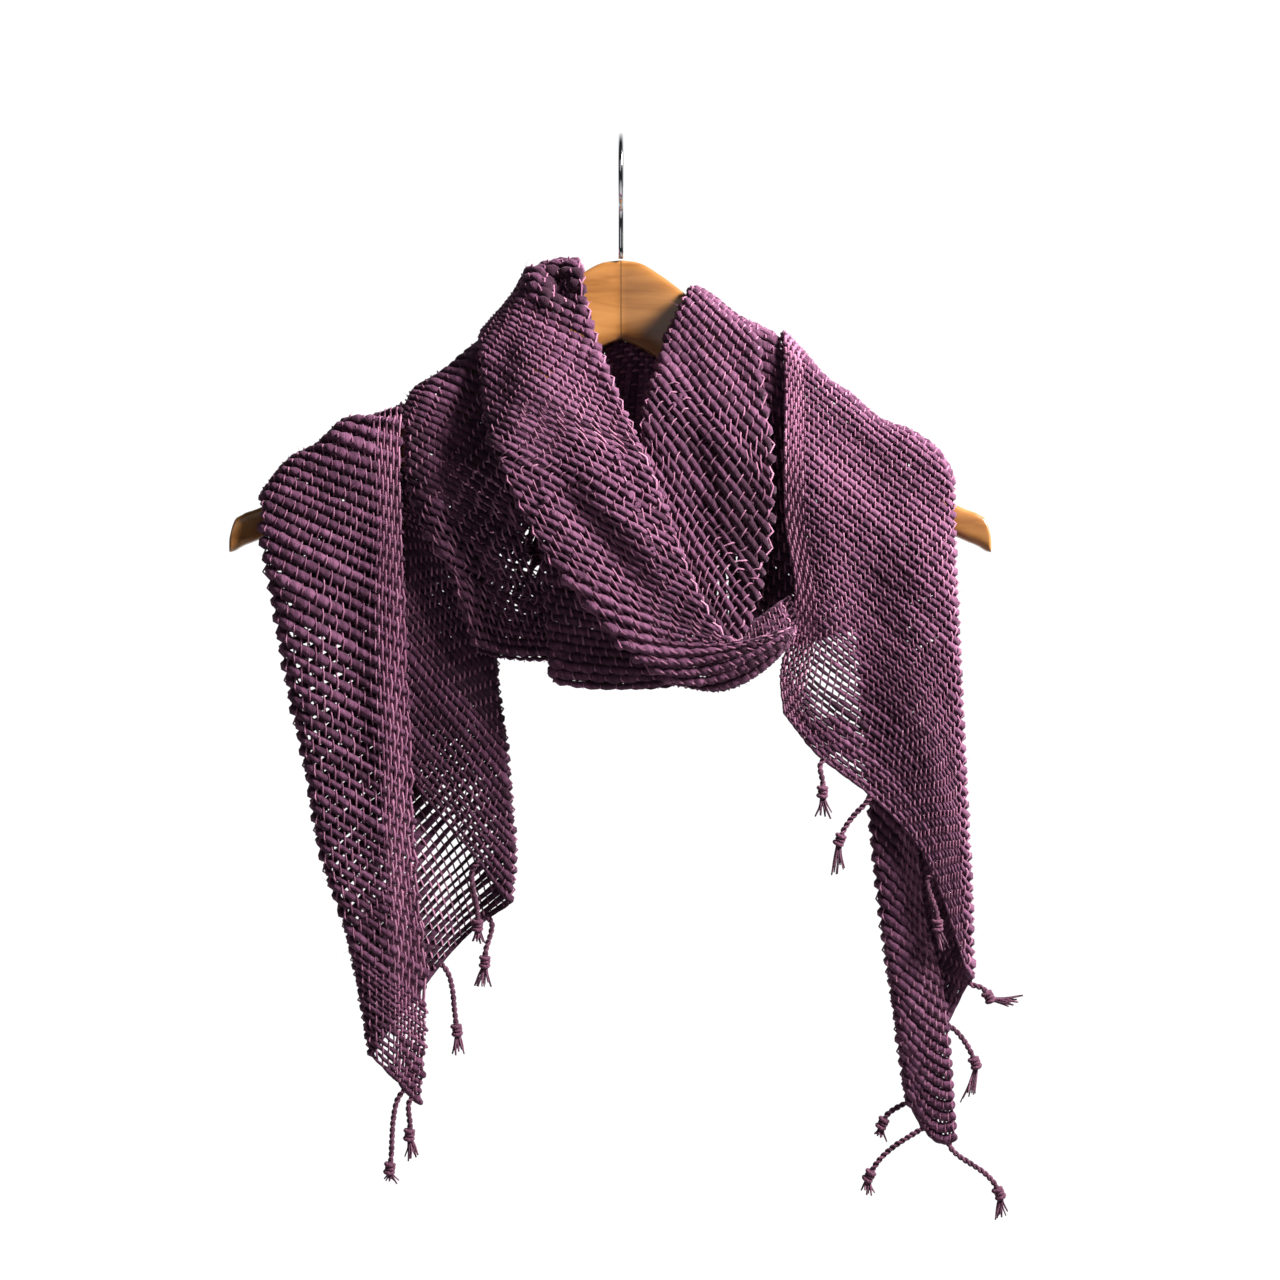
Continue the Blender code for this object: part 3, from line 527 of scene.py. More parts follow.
# Spots of painted shade (below zero) and painted light (above zero) on the cloth's colour: shade in the
# pocket's hollow and beside and below the folds, light on lit parts such as the lower right tail
PAINTED_LIGHT_AND_SHADE = table(
    Spot, (-37, -89, 15, 14, -1.10), (-52, -88, 4, 14, 0.45), (45, -290, 30, 40, -0.20),
    (82, -238, 22, 70, -0.38), (-80, -198, 11, 46, -0.65), (168, -525, 34, 70, 0.30),
    (112, -336, 22, 28, -0.42), (-121, -195, 8, 45, -0.45), (-55, -265, 22, 50, -0.20),
    (180, -430, 30, 60, 0.22), (84, -112, 10, 9, 0.40),
)
LUMPS = table(
    Lump, (0.90, 0.2, 0.40, 74, 0.5, 0.3), (-0.50, 0.4, 0.85, 58, 0.4, 1.9), (0.30, -0.6, 0.95, 97, 0.5, 4.0),
    (0.95, 0.5, -0.20, 41, 0.25, 2.2),
)
POCKET = table(
    Crease, (-56, -66, -51, -92, 3.5, 2.5), (-51, -90, -40, -106, 3.5, 2.0), (-41, -72, -36, -94, 7.5, -5.0),
    (-34, -212, 18, -272, 9, -3.5), (-18, -204, 34, -262, 9, 2.0),
)
PUFFED_CREST = table(Point, (62, -105), (72, -107), (80, -111), (88, -115), (96, -119))


def smooth(u):
    """0 up to 1, level at both ends."""
    u = np.clip(u, 0.0, 1.0)
    return u * u * (3.0 - 2.0 * u)


def run_lengths(line):
    """How far along a line each of its points lies."""
    return np.concatenate([[0.0], np.cumsum(np.linalg.norm(np.diff(line, axis=0), axis=1))])


def taken(values, lengths, places):
    """A line's values at places along its length."""
    return np.stack([np.interp(places, lengths, column) for column in values.T], axis=1)


def section_times(rows):
    """Where the sections lie along the cloth, counted in table rows."""
    return np.linspace(0.0, len(rows) - 1.0, (len(rows) - 1) * SECTIONS_A_ROW + 1)


def row_at(rows, t):
    """The row at t, by a Catmull-Rom curve through the table's rows."""
    numbers = np.array(rows, float)
    k = min(int(t), len(rows) - 2)
    u = t - k
    p1 = numbers[k]
    p2 = numbers[k + 1]
    p0 = numbers[k - 1] if k else 2 * p1 - p2
    p3 = numbers[k + 2] if k + 2 < len(rows) else 2 * p2 - p1
    square = 2 * p0 - 5 * p1 + 4 * p2 - p3
    cube = 3 * (p1 - p2) + p3 - p0
    return type(rows[0])(*(p1 + 0.5 * u * (p2 - p0 + u * (square + u * cube))))


def through(points, x):
    """Height at x on a rounded line through the points."""
    xs = np.array([p.x for p in points], float)
    zs = np.array([p.z for p in points], float)
    slopes = np.gradient(zs, xs)
    x = np.clip(x, xs[0], xs[-1])
    k = np.clip(np.searchsorted(xs, x) - 1, 0, len(xs) - 2)
    gap = xs[k + 1] - xs[k]
    u = (x - xs[k]) / gap
    rise = (3 - 2 * u) * u * u * (zs[k + 1] - zs[k])
    return zs[k] + rise + u * (1 - u) * gap * ((1 - u) * slopes[k] - u * slopes[k + 1])


def middle_y(x):
    """Mid-plane of the hanger, whose arms bend towards the viewer."""
    return -ARM_BEND * (x / ARM_REACH) ** 2


def base_line(sheet, x):
    """Height where the cloth leaves the front and turns over the arm."""
    return through(sheet.crest, x) - WALL / 2 - sheet.radius


def creased(sheet, x, z):
    """Depth that the soft creases add at a flat point."""
    total = np.zeros_like(x)
    for c in sheet.creases:
        run = np.array([c.to_x - c.from_x, c.to_z - c.from_z], float)
        length = np.hypot(*run)
        along = ((x - c.from_x) * run[0] + (z - c.from_z) * run[1]) / length**2
        across = ((x - c.from_x) * run[1] - (z - c.from_z) * run[0]) / length
        fade = smooth((along + 0.15) / 0.3) * smooth((1.15 - along) / 0.3)
        total += c.height * np.exp(-((across / c.width) ** 2)) * fade
    return total


def depth_at(sheet, crest_depth, low_depth, x, z):
    """Depth in front of the mid-plane: the crest's, easing to the low one further down."""
    drop = smooth((base_line(sheet, x) - z) / DEPTH_DROP)
    return crest_depth + (low_depth - crest_depth) * drop


def wrapped(sheet, flat):
    """Flat points (x, z, depth) put on the front, over the arm and down the back."""
    x, z, depth = flat.T
    base = base_line(sheet, x)
    depth = depth + creased(sheet, x, z)
    turn = np.clip((z - base) / sheet.radius, 0.0, math.pi)
    past = np.maximum(z - base - math.pi * sheet.radius, 0.0)
    y = middle_y(x) - depth * np.cos(turn)
    height = base + np.minimum(z - base, 0.0) + depth * np.sin(turn) - past
    return np.stack([x, y, height], axis=1)


def tail_section(tail, row, spans, roll_steps):
    """Flat points across a tail: front layer, round its outer fold, back layer, inner fold, middle layer.

    The row's bow curves the front layer, most near the outer fold, its rise the back one and its fall the
    middle one.
    """
    corners = np.array(row[3:]).reshape(4, 2)
    runs = [(b - a) / np.linalg.norm(b - a) for a, b in zip(corners, corners[1:])]

    def depth(layer, corner):
        return float(depth_at(tail, layer.crest, layer.low, corner[0:1], corner[1:2])[0])

    points = []
    radius_before = 0.0
    for k, layer in enumerate(tail.layers):
        start = corners[k] + radius_before * runs[k]
        last = k == len(tail.layers) - 1
        radius = 0.0
        if not last:
            before = depth(layer, corners[k + 1])
            after = depth(tail.layers[k + 1], corners[k + 1])
            radius = abs(before - after) / 2
        stop = corners[k + 1] - radius * runs[k]
        share = np.linspace(0.0, 1.0, spans[k] + 1)
        x = start[0] + (stop[0] - start[0]) * share
        z = start[1] + (stop[1] - start[1]) * share
        bow = (row.bow, row.rise, -row.fall)[k]
        late = share**2 if k == 0 else share
        z = z + bow * 4 * late * (1 - late)
        points += list(np.stack([x, z, depth_at(tail, layer.crest, layer.low, x, z)], axis=1))
        if last:
            break
        for turn in np.linspace(0.0, math.pi, roll_steps + 1)[1:-1]:
            inset = radius * (1 - math.sin(turn))
            flat = corners[k + 1] + (inset * runs[k + 1] if turn > math.pi / 2 else -inset * runs[k])
            points.append([flat[0], flat[1], (before + after) / 2 + (before - after) / 2 * math.cos(turn)])
        radius_before = radius
    return np.array(points)


def loop_section(loop, row, spans, roll_steps):
    """Flat points across a loop, each edge rolled back by its curl: 0 is flat and 1 is turned under."""
    left, right = np.array(row[4:]).reshape(2, 2)
    width = np.linalg.norm(right - left)
    run = (right - left) / width
    share = np.linspace(EDGE_ROLL / width, 1 - EDGE_ROLL / width, spans + 1)
    x = left[0] + (right[0] - left[0]) * share
    z = left[1] + (right[1] - left[1]) * share + row.bow * 4 * share * (1 - share)
    front = np.stack([x, z, depth_at(loop, loop.radius, row.depth, x, z)], axis=1)

    def edge(corner, curl, outward):
        angle = curl * math.pi
        most = min(loop.turn, 0.4 * width)
        under = LEAST_TURN_UNDER + (most - LEAST_TURN_UNDER) * smooth((curl - 0.8) / 0.2)
        turns = [angle * k / roll_steps for k in range(1, roll_steps + 1)]
        path = [(EDGE_ROLL * (math.sin(a) - 1), EDGE_ROLL * (1 - math.cos(a))) for a in turns]
        for part in (0.5, 1.0):
            path.append((
                path[roll_steps - 1][0] + part * under * math.cos(angle),
                path[roll_steps - 1][1] + part * under * math.sin(angle),
            ))
        flats = []
        for out, behind in path:
            flat = corner + outward * out * run
            flats.append([flat[0], flat[1], end_depth(flat) - behind])
        return flats

    def end_depth(flat):
        return float(depth_at(loop, loop.radius, row.depth, flat[0:1], flat[1:2])[0])

    return np.array(edge(left, row.curl_l, -1.0)[::-1] + list(front) + edge(right, row.curl_r, 1.0))


def end_rows(first, second, share):
    """Two rows that carry a sheet on past its first section and a seam's gap, and how far they bow."""
    onward = first - second
    onward /= np.linalg.norm(onward, axis=1, keepdims=True)
    lengths = run_lengths(first)
    rows = []
    for below in (BENT_SEAM_GAP, SEAM_RUN):
        moved = first + onward * below
        line = taken(moved, lengths / lengths[-1], share)
        rows.append(BackRow(*line[0], *line[-1]))
    bow = line - line[0] - (line[-1] - line[0]) * share[:, None]
    return rows, bow


def back_grid(back, start, finish, share):
    """A stretch behind the hanger, from one sheet's end to another's, with pleats along it."""
    rows = start[0] + back.rows + finish[0][::-1]
    grid = []
    for t in section_times(rows):
        row = row_at(rows, t)
        top, low = np.array(row).reshape(2, 3)
        line = top + (low - top) * share[:, None]
        line += start[1] * smooth((3.0 - t) / 2.0) + finish[1] * smooth((t - len(rows) + 4.0) / 2.0)
        fade = smooth((t - 1.0) / 2.0) * smooth((len(rows) - 2.0 - t) / 2.0) * smooth(share * 3)
        line[:, 1] += back.amplitude * fade * np.sin(2 * math.pi * back.waves * share + back.phase)
        grid.append(line)
    return grid


def bezier(points, u):
    a, b, c, d = [np.array(p, float) for p in points]
    return a * (1 - u) ** 3 + 3 * b * u * (1 - u) ** 2 + 3 * c * u * u * (1 - u) + d * u**3


def on_crown(degrees):
    """Point of the hook's round part, by its angle from the crown towards the back."""
    angle = math.radians(degrees)
    centre_z = WIRE_RADIUS - CROWN_RADIUS
    return np.array([0.0, CROWN_RADIUS * math.sin(angle), centre_z + CROWN_RADIUS * math.cos(angle)])


def hem_point(tail, across):
    """A point of the hem, by its share from the front selvedge, and the way the cloth runs there."""
    last = len(tail.rows) - 1.0
    hem = wrapped(tail, tail_section(tail, row_at(tail.rows, last), HEM_SPANS, HEM_ROLL_STEPS))
    above = wrapped(tail, tail_section(tail, row_at(tail.rows, last - 0.1), HEM_SPANS, HEM_ROLL_STEPS))
    lengths = run_lengths(hem)

    def at(points, share):
        return np.array([np.interp(share * lengths[-1], lengths, points[:, k]) for k in range(3)])

    point = at(hem, across)
    edge = at(hem, across + HEM_STEP) - at(hem, across - HEM_STEP)
    edge /= np.linalg.norm(edge)
    run = point - at(above, across)
    run -= edge * run.dot(edge)
    return point, run / np.linalg.norm(run)


random = np.random.default_rng(SEED)


def unit(vectors):
    return vectors / np.maximum(np.linalg.norm(vectors, axis=-1, keepdims=True), 1e-9)


def resampled(line, shares):
    """Points at shares of a line's length."""
    lengths = run_lengths(line[:, :3])
    return taken(line, lengths / lengths[-1], shares)


def warp_shares(width, dense):
    """Where the warps lie across a width, closer in the selvedges, as shares of it."""
    band = [SELVEDGE_MARGIN + k * SELVEDGE_PITCH for k in range(SELVEDGE_WARPS)] if dense else []
    inset = SELVEDGE_WARPS * SELVEDGE_PITCH + SELVEDGE_GAP if dense else 0.0
    first = SELVEDGE_MARGIN + inset
    last = width - SELVEDGE_MARGIN - inset
    count = max(2, int(round((last - first) / WARP_PITCH)))
    places = [first + (last - first) * k / count for k in range(count + 1)]
    return np.array(band + places + [width - place for place in band[::-1]]) / width


def square_on(steps, across):
    """Lengths of steps taken square to the wefts."""
    return np.linalg.norm(steps - across * (steps * across).sum(axis=-1, keepdims=True), axis=-1)


def sampled(grid, down, across):
    """Values of a grid at places between its rows and columns, carried on straight past its sides."""
    row = np.clip(down.astype(int), 0, grid.shape[0] - 2)
    column = np.clip(across.astype(int), 0, grid.shape[1] - 2)
    part = (across - column)[..., None]
    above = grid[row, column] * (1 - part) + grid[row, column + 1] * part
    below = grid[row + 1, column] * (1 - part) + grid[row + 1, column + 1] * part
    part = (down - row)[..., None]
    return above * (1 - part) + below * part


def woven_grid(rows, dense, cloth, tilts):
    """A crossing for each weft and warp, with how far it lies from both sides and from the top.

    Tilts turn the wefts or crowd them. The warps of a cloth that leans run aslant, off one side and in
    at the other.
    """
    even = np.linspace(0.0, 1.0, FINE_COLUMNS)
    fine = np.array([resampled(line, even) for line in rows])
    width = np.linalg.norm(np.diff(fine[:, :, :3], axis=1), axis=2).sum(axis=1).mean()
    across = unit(np.gradient(fine[:, :, :3], axis=1))
    steps = square_on(np.diff(fine[:, :, :3], axis=0), (across[1:] + across[:-1]) / 2).mean(axis=1)
    lengths = np.concatenate([[0.0], np.cumsum(steps)])
    along = lengths / lengths[-1]
    crowd = np.interp(along, [t.along for t in tilts], [1 / t.close for t in tilts])
    counted = np.concatenate([[0.0], np.cumsum(steps * (crowd[1:] + crowd[:-1]) / 2)]) / cloth.pitch
    count = int(round(counted[-1]))
    before = math.ceil(abs(tilts[0].skew) / 2 / cloth.pitch)
    numbers = (np.arange(-before, count) + SEAM_SHARE) * counted[-1] / (count - 1 + 2 * SEAM_SHARE)
    wanted = np.interp(numbers, [-before - 1.0, *counted], [(-before - 1.0) * cloth.pitch, *lengths])
    skew = np.interp(wanted / lengths[-1], [t.along for t in tilts], [t.skew for t in tilts])
    if cloth.lean:
        shares = np.arange(0.0, width + cloth.lean * lengths[-1], WARP_PITCH) / width
    else:
        shares = warp_shares(width, dense)
    shares = shares[None, :] - cloth.lean * (wanted / width)[:, None]
    placed = wanted[:, None] + skew[:, None] * (shares - 0.5)
    used = (placed > HELD_TOP).sum(axis=1) > 2
    shares = shares[used]
    placed = placed[used]
    down = np.interp(placed, [-OVER_TOP, *lengths], [-OVER_TOP / steps[0], *np.arange(len(fine))])
    grid = sampled(fine, down, shares * (FINE_COLUMNS - 1))
    return np.concatenate([grid, np.stack([shares * width, (1 - shares) * width, placed], axis=2)], axis=2)


def wandering(rows, columns, least, most, count=5):
    """Soft noise along each of many yarns, about -1 to 1."""
    along = np.arange(columns)[None, :]
    total = np.zeros((rows, columns))
    for _ in range(count):
        wave = random.uniform(least, most, (rows, 1))
        swing = np.sin(2 * math.pi * (along / wave + random.random((rows, 1))))
        total += swing * random.uniform(0.5, 1.0, (rows, 1))
    return total / (0.75 * count**0.5 * 1.6)


def added(name, data, look=None):
    """A new object in the scene, with its look if it has one."""
    made = bpy.data.objects.new(name, data)
    bpy.context.scene.collection.objects.link(made)
    if look:
        data.materials.append(look)
    return made


class Yarns:
    """Tubes gathered into one mesh, with their own coordinates and tone."""

    def __init__(self):
        self.points = []
        self.faces = []
        self.uvs = []
        self.tones = []
        self.count = 0

    def add(self, centres, normals, radii, sides, tones, flatness=1.0):
        """Tubes of the same length: centres and normals (tube, ring, 3), radii and tones (tube, ring)."""
        tubes, rings = radii.shape
        along = unit(np.gradient(centres, axis=1))
        side = unit(np.cross(along, normals))
        up = np.cross(side, along)
        angles = 2 * math.pi * np.arange(sides) / sides
        ring = (
            side[:, :, None, :] * np.cos(angles)[None, None, :, None]
            + flatness * up[:, :, None, :] * np.sin(angles)[None, None, :, None]
        )
        points = centres[:, :, None, :] + ring * radii[:, :, None, None]
        number = self.count + np.arange(tubes * rings * sides).reshape(tubes, rings, sides)
        turned = np.roll(number, -1, axis=2)
        quads = np.stack([number[:, :-1], turned[:, :-1], turned[:, 1:], number[:, 1:]], axis=-1)
        steps = np.linalg.norm(np.diff(centres, axis=1), axis=2)
        lengths = np.pad(np.cumsum(steps, axis=1), ((0, 0), (1, 0)))
        start = np.broadcast_to(lengths[:, :-1, None], quads.shape[:3])
        stop = np.broadcast_to(lengths[:, 1:, None], quads.shape[:3])
        low = np.broadcast_to(np.arange(sides) / sides, quads.shape[:3])
        high = low + 1.0 / sides
        corners = ((start, low), (start, high), (stop, high), (stop, low))
        uv = np.stack([np.stack(corner, axis=-1) for corner in corners], axis=-2)
        self.points.append(points.reshape(-1, 3))
        self.tones.append(np.repeat(tones.reshape(-1), sides))
        self.faces.append(quads.reshape(-1, 4))
        self.uvs.append(uv.reshape(-1, 2))
        for end, flip in ((0, True), (rings - 1, False)):
            cap = number[:, end, ::-1] if flip else number[:, end]
            for k in range(1, sides - 1, 2):
                last = min(k + 2, sides - 1)
                quad = np.stack([cap[:, 0], cap[:, k], cap[:, k + 1], cap[:, last]], axis=-1)
                self.faces.append(quad)
                self.uvs.append(np.zeros((len(quad) * 4, 2)))
        self.count += tubes * rings * sides

    def piece(self, name, look):
        points = np.concatenate(self.points) * MM
        faces = np.concatenate(self.faces)
        uvs = np.concatenate(self.uvs)
        whole = faces[:, 2] != faces[:, 3]
        sizes = np.where(whole, 4, 3)
        keep = np.ones(faces.shape, bool)
        keep[~whole, 3] = False
        mesh = bpy.data.meshes.new(name)
        mesh.vertices.add(len(points))
        mesh.vertices.foreach_set("co", points.astype(np.float32).ravel())
        mesh.loops.add(int(sizes.sum()))
        mesh.loops.foreach_set("vertex_index", faces[keep].astype(np.int32))
        mesh.polygons.add(len(faces))
        mesh.polygons.foreach_set("loop_start", np.concatenate([[0], np.cumsum(sizes)[:-1]]).astype(np.int32))
        mesh.polygons.foreach_set("loop_total", sizes.astype(np.int32))
        mesh.polygons.foreach_set("use_smooth", np.ones(len(faces), bool))
        mesh.update(calc_edges=True)
        layer = mesh.uv_layers.new(name="yarn")
        layer.data.foreach_set("uv", uvs.reshape(-1, 4, 2)[keep].astype(np.float32).ravel())
        tone = mesh.attributes.new("tone", "FLOAT", "POINT")
        tone.data.foreach_set("value", np.concatenate(self.tones).astype(np.float32))
        mesh.validate()
        return added(name, mesh, look)


def lumps(points):
    """Soft unevenness of the cloth, about -1 to 1, at points in space."""
    total = np.zeros(points.shape[:-1])
    for wave in LUMPS:
        turn = (points @ np.array([wave.x, wave.y, wave.z])) / wave.length
        total += wave.height * np.sin(2 * math.pi * turn + wave.phase)
    return total


def spotted(points, spots):
    """The sum of soft spots at points in space."""
    total = np.zeros(points.shape[:-1])
    for spot in spots:
        far = ((points[..., 0] - spot.x) / spot.wide) ** 2 + ((points[..., 2] - spot.z) / spot.high) ** 2
        total += spot.amount * np.exp(-far)
    return total


def over_wood(points):
    """1 in front of the hanger's arm, 0 well below it."""
    bottom = through(BOTTOM_LINE, np.abs(points[..., 0]))
    return smooth((points[..., 2] - bottom + WOOD_REACH) / WOOD_EASE)


def between(values):
    """Values at the crossings of each yarn with the means between them put in."""
    out = np.empty((values.shape[0], 2 * values.shape[1] - 1) + values.shape[2:])
    out[:, 0::2] = values
    out[:, 1::2] = (values[:, :-1] + values[:, 1:]) / 2
    return out


def fuzz(yarns, places, normals, radius):
    """Loose fibres that stand off some of the wefts."""
    chosen = random.choice(len(places), int(FUZZ_SHARE * len(places)), replace=False)
    way = unit(normals[chosen] * FUZZ_LEAN + FUZZ_SCATTER * random.standard_normal((len(chosen), 3)))
    bend = unit(np.cross(way, random.standard_normal((len(chosen), 3))))
    length = random.uniform(*FUZZ_LENGTHS, (len(chosen), 1, 1))
    part = np.linspace(0.0, 1.0, FUZZ_RINGS)[None, :, None]
    start = (places[chosen] + normals[chosen] * (0.5 * radius[chosen, None]))[:, None]
    path = start + length * (way[:, None] * part + FUZZ_BEND * bend[:, None] * part**2)
    thin = FUZZ_RADIUS * np.ones(len(chosen))[:, None] * np.linspace(1.0, 0.5, FUZZ_RINGS)[None, :]
    sides = np.repeat(bend[:, None], FUZZ_RINGS, axis=1)
    yarns.add(path, sides, thin, WARP_SIDES, np.full(thin.shape, FUZZ_TONE))


def held_crossings(crossings):
    """Which crossings lie between the two sides of a stretch and below its upper seam."""
    left, right, top = (crossings[:, :, k] for k in (FROM_LEFT, FROM_RIGHT, FROM_TOP))
    return (left > HELD_SIDE) & (right > HELD_SIDE) & (top > HELD_TOP)


def faced(grid, cloth):
    """The way the cloth faces at each crossing."""
    return cloth.facing * unit(np.cross(np.gradient(grid, axis=0), np.gradient(grid, axis=1)))


def rolled_back(grid, cloth, edges):
    """Crossings near the two sides carried back round a fold."""
    normals = faced(grid, cloth)
    across = unit(np.gradient(grid, axis=1))
    for edge, way in zip(edges, (1.0, -1.0)):
        turn = np.clip(1.0 - edge / ROLL_REACH, 0.0, 1.0) ** 2
        grid = grid + (ROLL_INWARD * way * across - normals) * (cloth.roll * turn)[:, :, None]
    return grid


def turned_ends(point, way, normal, lost, ends):
    """Where a weft goes on past its outer warp, from the warp outwards."""
    return [point + way * (end.out + lost) - normal * end.back for end in ends]


def weave(name, crossings, cloth):
    """Wefts and warps through the crossings of a stretch, as two pieces."""
    inner = crossings[:, :, INNER]
    below_crest = crossings[:, :, BELOW_CREST]
    edges = (crossings[:, :, FROM_LEFT], crossings[:, :, FROM_RIGHT])
    held = held_crossings(crossings)
    grid = rolled_back(crossings[:, :, :3], cloth, edges)
    rows, columns = grid.shape[:2]
    along_warp = unit(np.gradient(grid, axis=0))
    across = unit(np.gradient(grid, axis=1))
    normals = faced(grid, cloth)
    spacing = square_on(np.gradient(grid, axis=0), across)
    phase = (np.arange(rows)[:, None] + np.arange(columns)[None, :]) % 2 * 2 - 1

    room = CREST_LUMP + (1 - CREST_LUMP) * smooth(below_crest)
    grid[:, :, 1] -= room * lumps(grid)
    tips = np.abs(np.sin(math.pi * (np.arange(rows) + 0.5) / SCALLOP_WEFTS))[:, None]
    tips = tips * smooth((-grid[:, :1, 2] - SCALLOP_DROP) / SCALLOP_EASE)
    tips = tips * np.exp(-np.arange(columns) / SCALLOP_WARPS)[None, :]
    grid -= across * (cloth.scallop * tips)[:, :, None]

    close = np.maximum(smooth(inner), over_wood(grid))
    fill = cloth.fill + (np.where(inner > 0.5, INNER_FILL, cloth.crest_fill) - cloth.fill) * close
    fill = fill + FOLD_FILL * np.abs(normals[:, :, 0]) ** 3
    fill = fill * (1 - spotted(grid, THINNED))
    slub = 1 + (SLUB - SLUB_LOST_CLOSE * close) * wandering(rows, columns, 5, 30)
    slub = slub + WEFT_SPREAD * random.standard_normal((rows, 1))
    fleck = (FLECK - FLECK_LOST_CLOSE * close) * wandering(rows, columns, 2.3, 5)
    slub += fleck + SCALLOP_SLUB * cloth.scallop * tips
    dense = np.abs(np.gradient(edges[0][0])) < DENSE_PITCH
    radius = np.clip(fill * spacing * slub * np.where(dense, DENSE_WEFT, 1.0), LEAST_WEFT, MOST_WEFT)
    inner_room = CREST_INNER_WEFT + (INNER_WEFT - CREST_INNER_WEFT) * smooth(below_crest)
    radius = np.where(inner > 0.5, np.minimum(radius, inner_room), radius)
    sway = (WEFT_SWAY * wandering(rows, columns, 6, 26))[:, :, None]
    lift = WEFT_LIFT * room * wandering(rows, columns, 8, 26)
    centres = grid + along_warp * sway + normals * (lift + WEFT_WAVE * phase)[:, :, None]
    tone = 0.5 + TONE_DRIFT * wandering(rows, columns, 12, 60) + TONE_FLECK * wandering(rows, columns, 2.3, 6)
    # Painted light and shade on top of the yarns' uneven tone: each stretch's own tone offset, darker inner
    # layers, and the spots of painted light and shade
    tone += TONE_SPREAD * random.standard_normal((rows, 1)) + cloth.tone - INNER_SHADE * inner
    tone += spotted(grid, PAINTED_LIGHT_AND_SHADE)

    path = between(centres)
    thick = between(radius)
    thick[:, 0::2] *= np.where(phase > 0, OVER_WARP, np.where(inner > 0.5, UNDER_INNER_WARP, UNDER_WARP))
    thick[:, 1::2] *= BETWEEN_WARPS
    facing = between(normals)
    shade = between(tone)
    sizes = np.array([end.size for end in cloth.ends])
    pad = (len(sizes), len(sizes))
    wefts = Yarns()
    for row in range(rows):
        kept = np.flatnonzero(held[row])
        first, last = kept[0], kept[-1]
        part = slice(2 * first, 2 * last + 1)
        lost = (0.0, 0.0) if cloth.lean == 0.0 else (edges[0][row, first], edges[1][row, last])
        line = path[row, part]
        starts = turned_ends(line[0], -across[row, first], normals[row, first], lost[0], cloth.ends)
        stops = turned_ends(line[-1], across[row, last], normals[row, last], lost[1], cloth.ends)
        line = np.array(starts[::-1] + list(line) + stops)
        full = thick[row, part]
        full = np.concatenate([full[0] * sizes[::-1], full, full[-1] * sizes])
        up = np.pad(facing[row, part], (pad, (0, 0)), mode="edge")
        tones = np.pad(shade[row, part], pad, mode="edge")
        wefts.add(line[None], up[None], full[None], WEFT_SIDES, tones[None], cloth.flatness)

    over = radius * WARP_OVER * cloth.flatness + WARP_RADIUS * WARP_PROUD
    wander = WARP_SWAY * wandering(columns, rows, 6, 20).T + WARP_ZIGZAG * phase
    peaks = grid + along_warp * sway + normals * (lift - phase * over)[:, :, None]
    peaks += across * wander[:, :, None]
    path = between(peaks.transpose(1, 0, 2))
    facing = unit(between(normals.transpose(1, 0, 2)))
    thin = WARP_RADIUS * (1 + WARP_SLUB * wandering(columns, 2 * rows - 1, 6, 30))
    thin *= np.where(dense, SELVEDGE_THICKER, 1.0)[:, None]
    shade = 0.5 + WARP_TONE * wandering(columns, 2 * rows - 1, 20, 80)
    warps = Yarns()
    for column in range(columns):
        kept = np.flatnonzero(held[:, column])
        if len(kept) > 1:
            part = (slice(column, column + 1), slice(2 * kept[0], 2 * kept[-1] + 1))
            warps.add(path[part], facing[part], thin[part], WARP_SIDES, shade[part])
    fuzz(warps, centres[held], normals[held], radius[held])
    return wefts.piece(name + "_wefts", WEFT_LOOK), warps.piece(name + "_warps", WARP_LOOK)


def lined(sheet, flat, first_inner):
    """A section in space, with its inner layers and how far below the crest it lies."""
    line = wrapped(sheet, flat)
    inner = (np.arange(len(flat)) >= first_inner).astype(float)
    below = (base_line(sheet, flat[:, 0]) - flat[:, 1]) / DEPTH_DROP
    return np.column_stack([line, inner, below])


def tail_lines(tail):
    rows = [row_at(tail.rows, t) for t in section_times(tail.rows)]
    flats = [tail_section(tail, row, TAIL_SPANS, TAIL_ROLL_STEPS) for row in rows]
    return [lined(tail, flat, TAIL_SPANS[0] + TAIL_ROLL_STEPS // 2) for flat in flats]


def loop_lines(loop):
    rows = [row_at(loop.rows, t) for t in section_times(loop.rows)]
    flats = [loop_section(loop, row, LOOP_SPANS, LOOP_ROLL_STEPS) for row in rows]
    return [lined(loop, flat, len(flats[0])) for flat in flats]


def plugged(tree, made, values):
    """Link other nodes' outputs to a node's inputs, or set constants on them."""
    for key, value in values.items():
        if isinstance(value, bpy.types.NodeSocket):
            tree.links.new(value, made.inputs[key])
        else:
            made.inputs[key].default_value = value
    return made


def look(name, values):
    made = bpy.data.materials.new(name)
    made.use_nodes = True
    tree = made.node_tree
    return made, tree, plugged(tree, tree.nodes["Principled BSDF"], values)


def node(tree, kind, values, output=0):
    """One output of a new shader node whose inputs are filled in."""
    return plugged(tree, tree.nodes.new("ShaderNode" + kind), values).outputs[output]


def maths(tree, operation, *values):
    made = tree.nodes.new("ShaderNodeMath")
    made.operation = operation
    return plugged(tree, made, dict(enumerate(values))).outputs[0]


def ramp(tree, source, stops):
    made = tree.nodes.new("ShaderNodeValToRGB")
    elements = made.color_ramp.elements
    for k, (place, color) in enumerate(stops):
        element = elements[k] if k < 2 else elements.new(place)
        element.position = place
        element.color = (*color, 1.0)
    tree.links.new(source, made.inputs["Fac"])
    return made.outputs["Color"]


def bumped(tree, height, strength, distance):
    return node(tree, "Bump", {"Height": height, "Strength": strength, "Distance": distance}, "Normal")


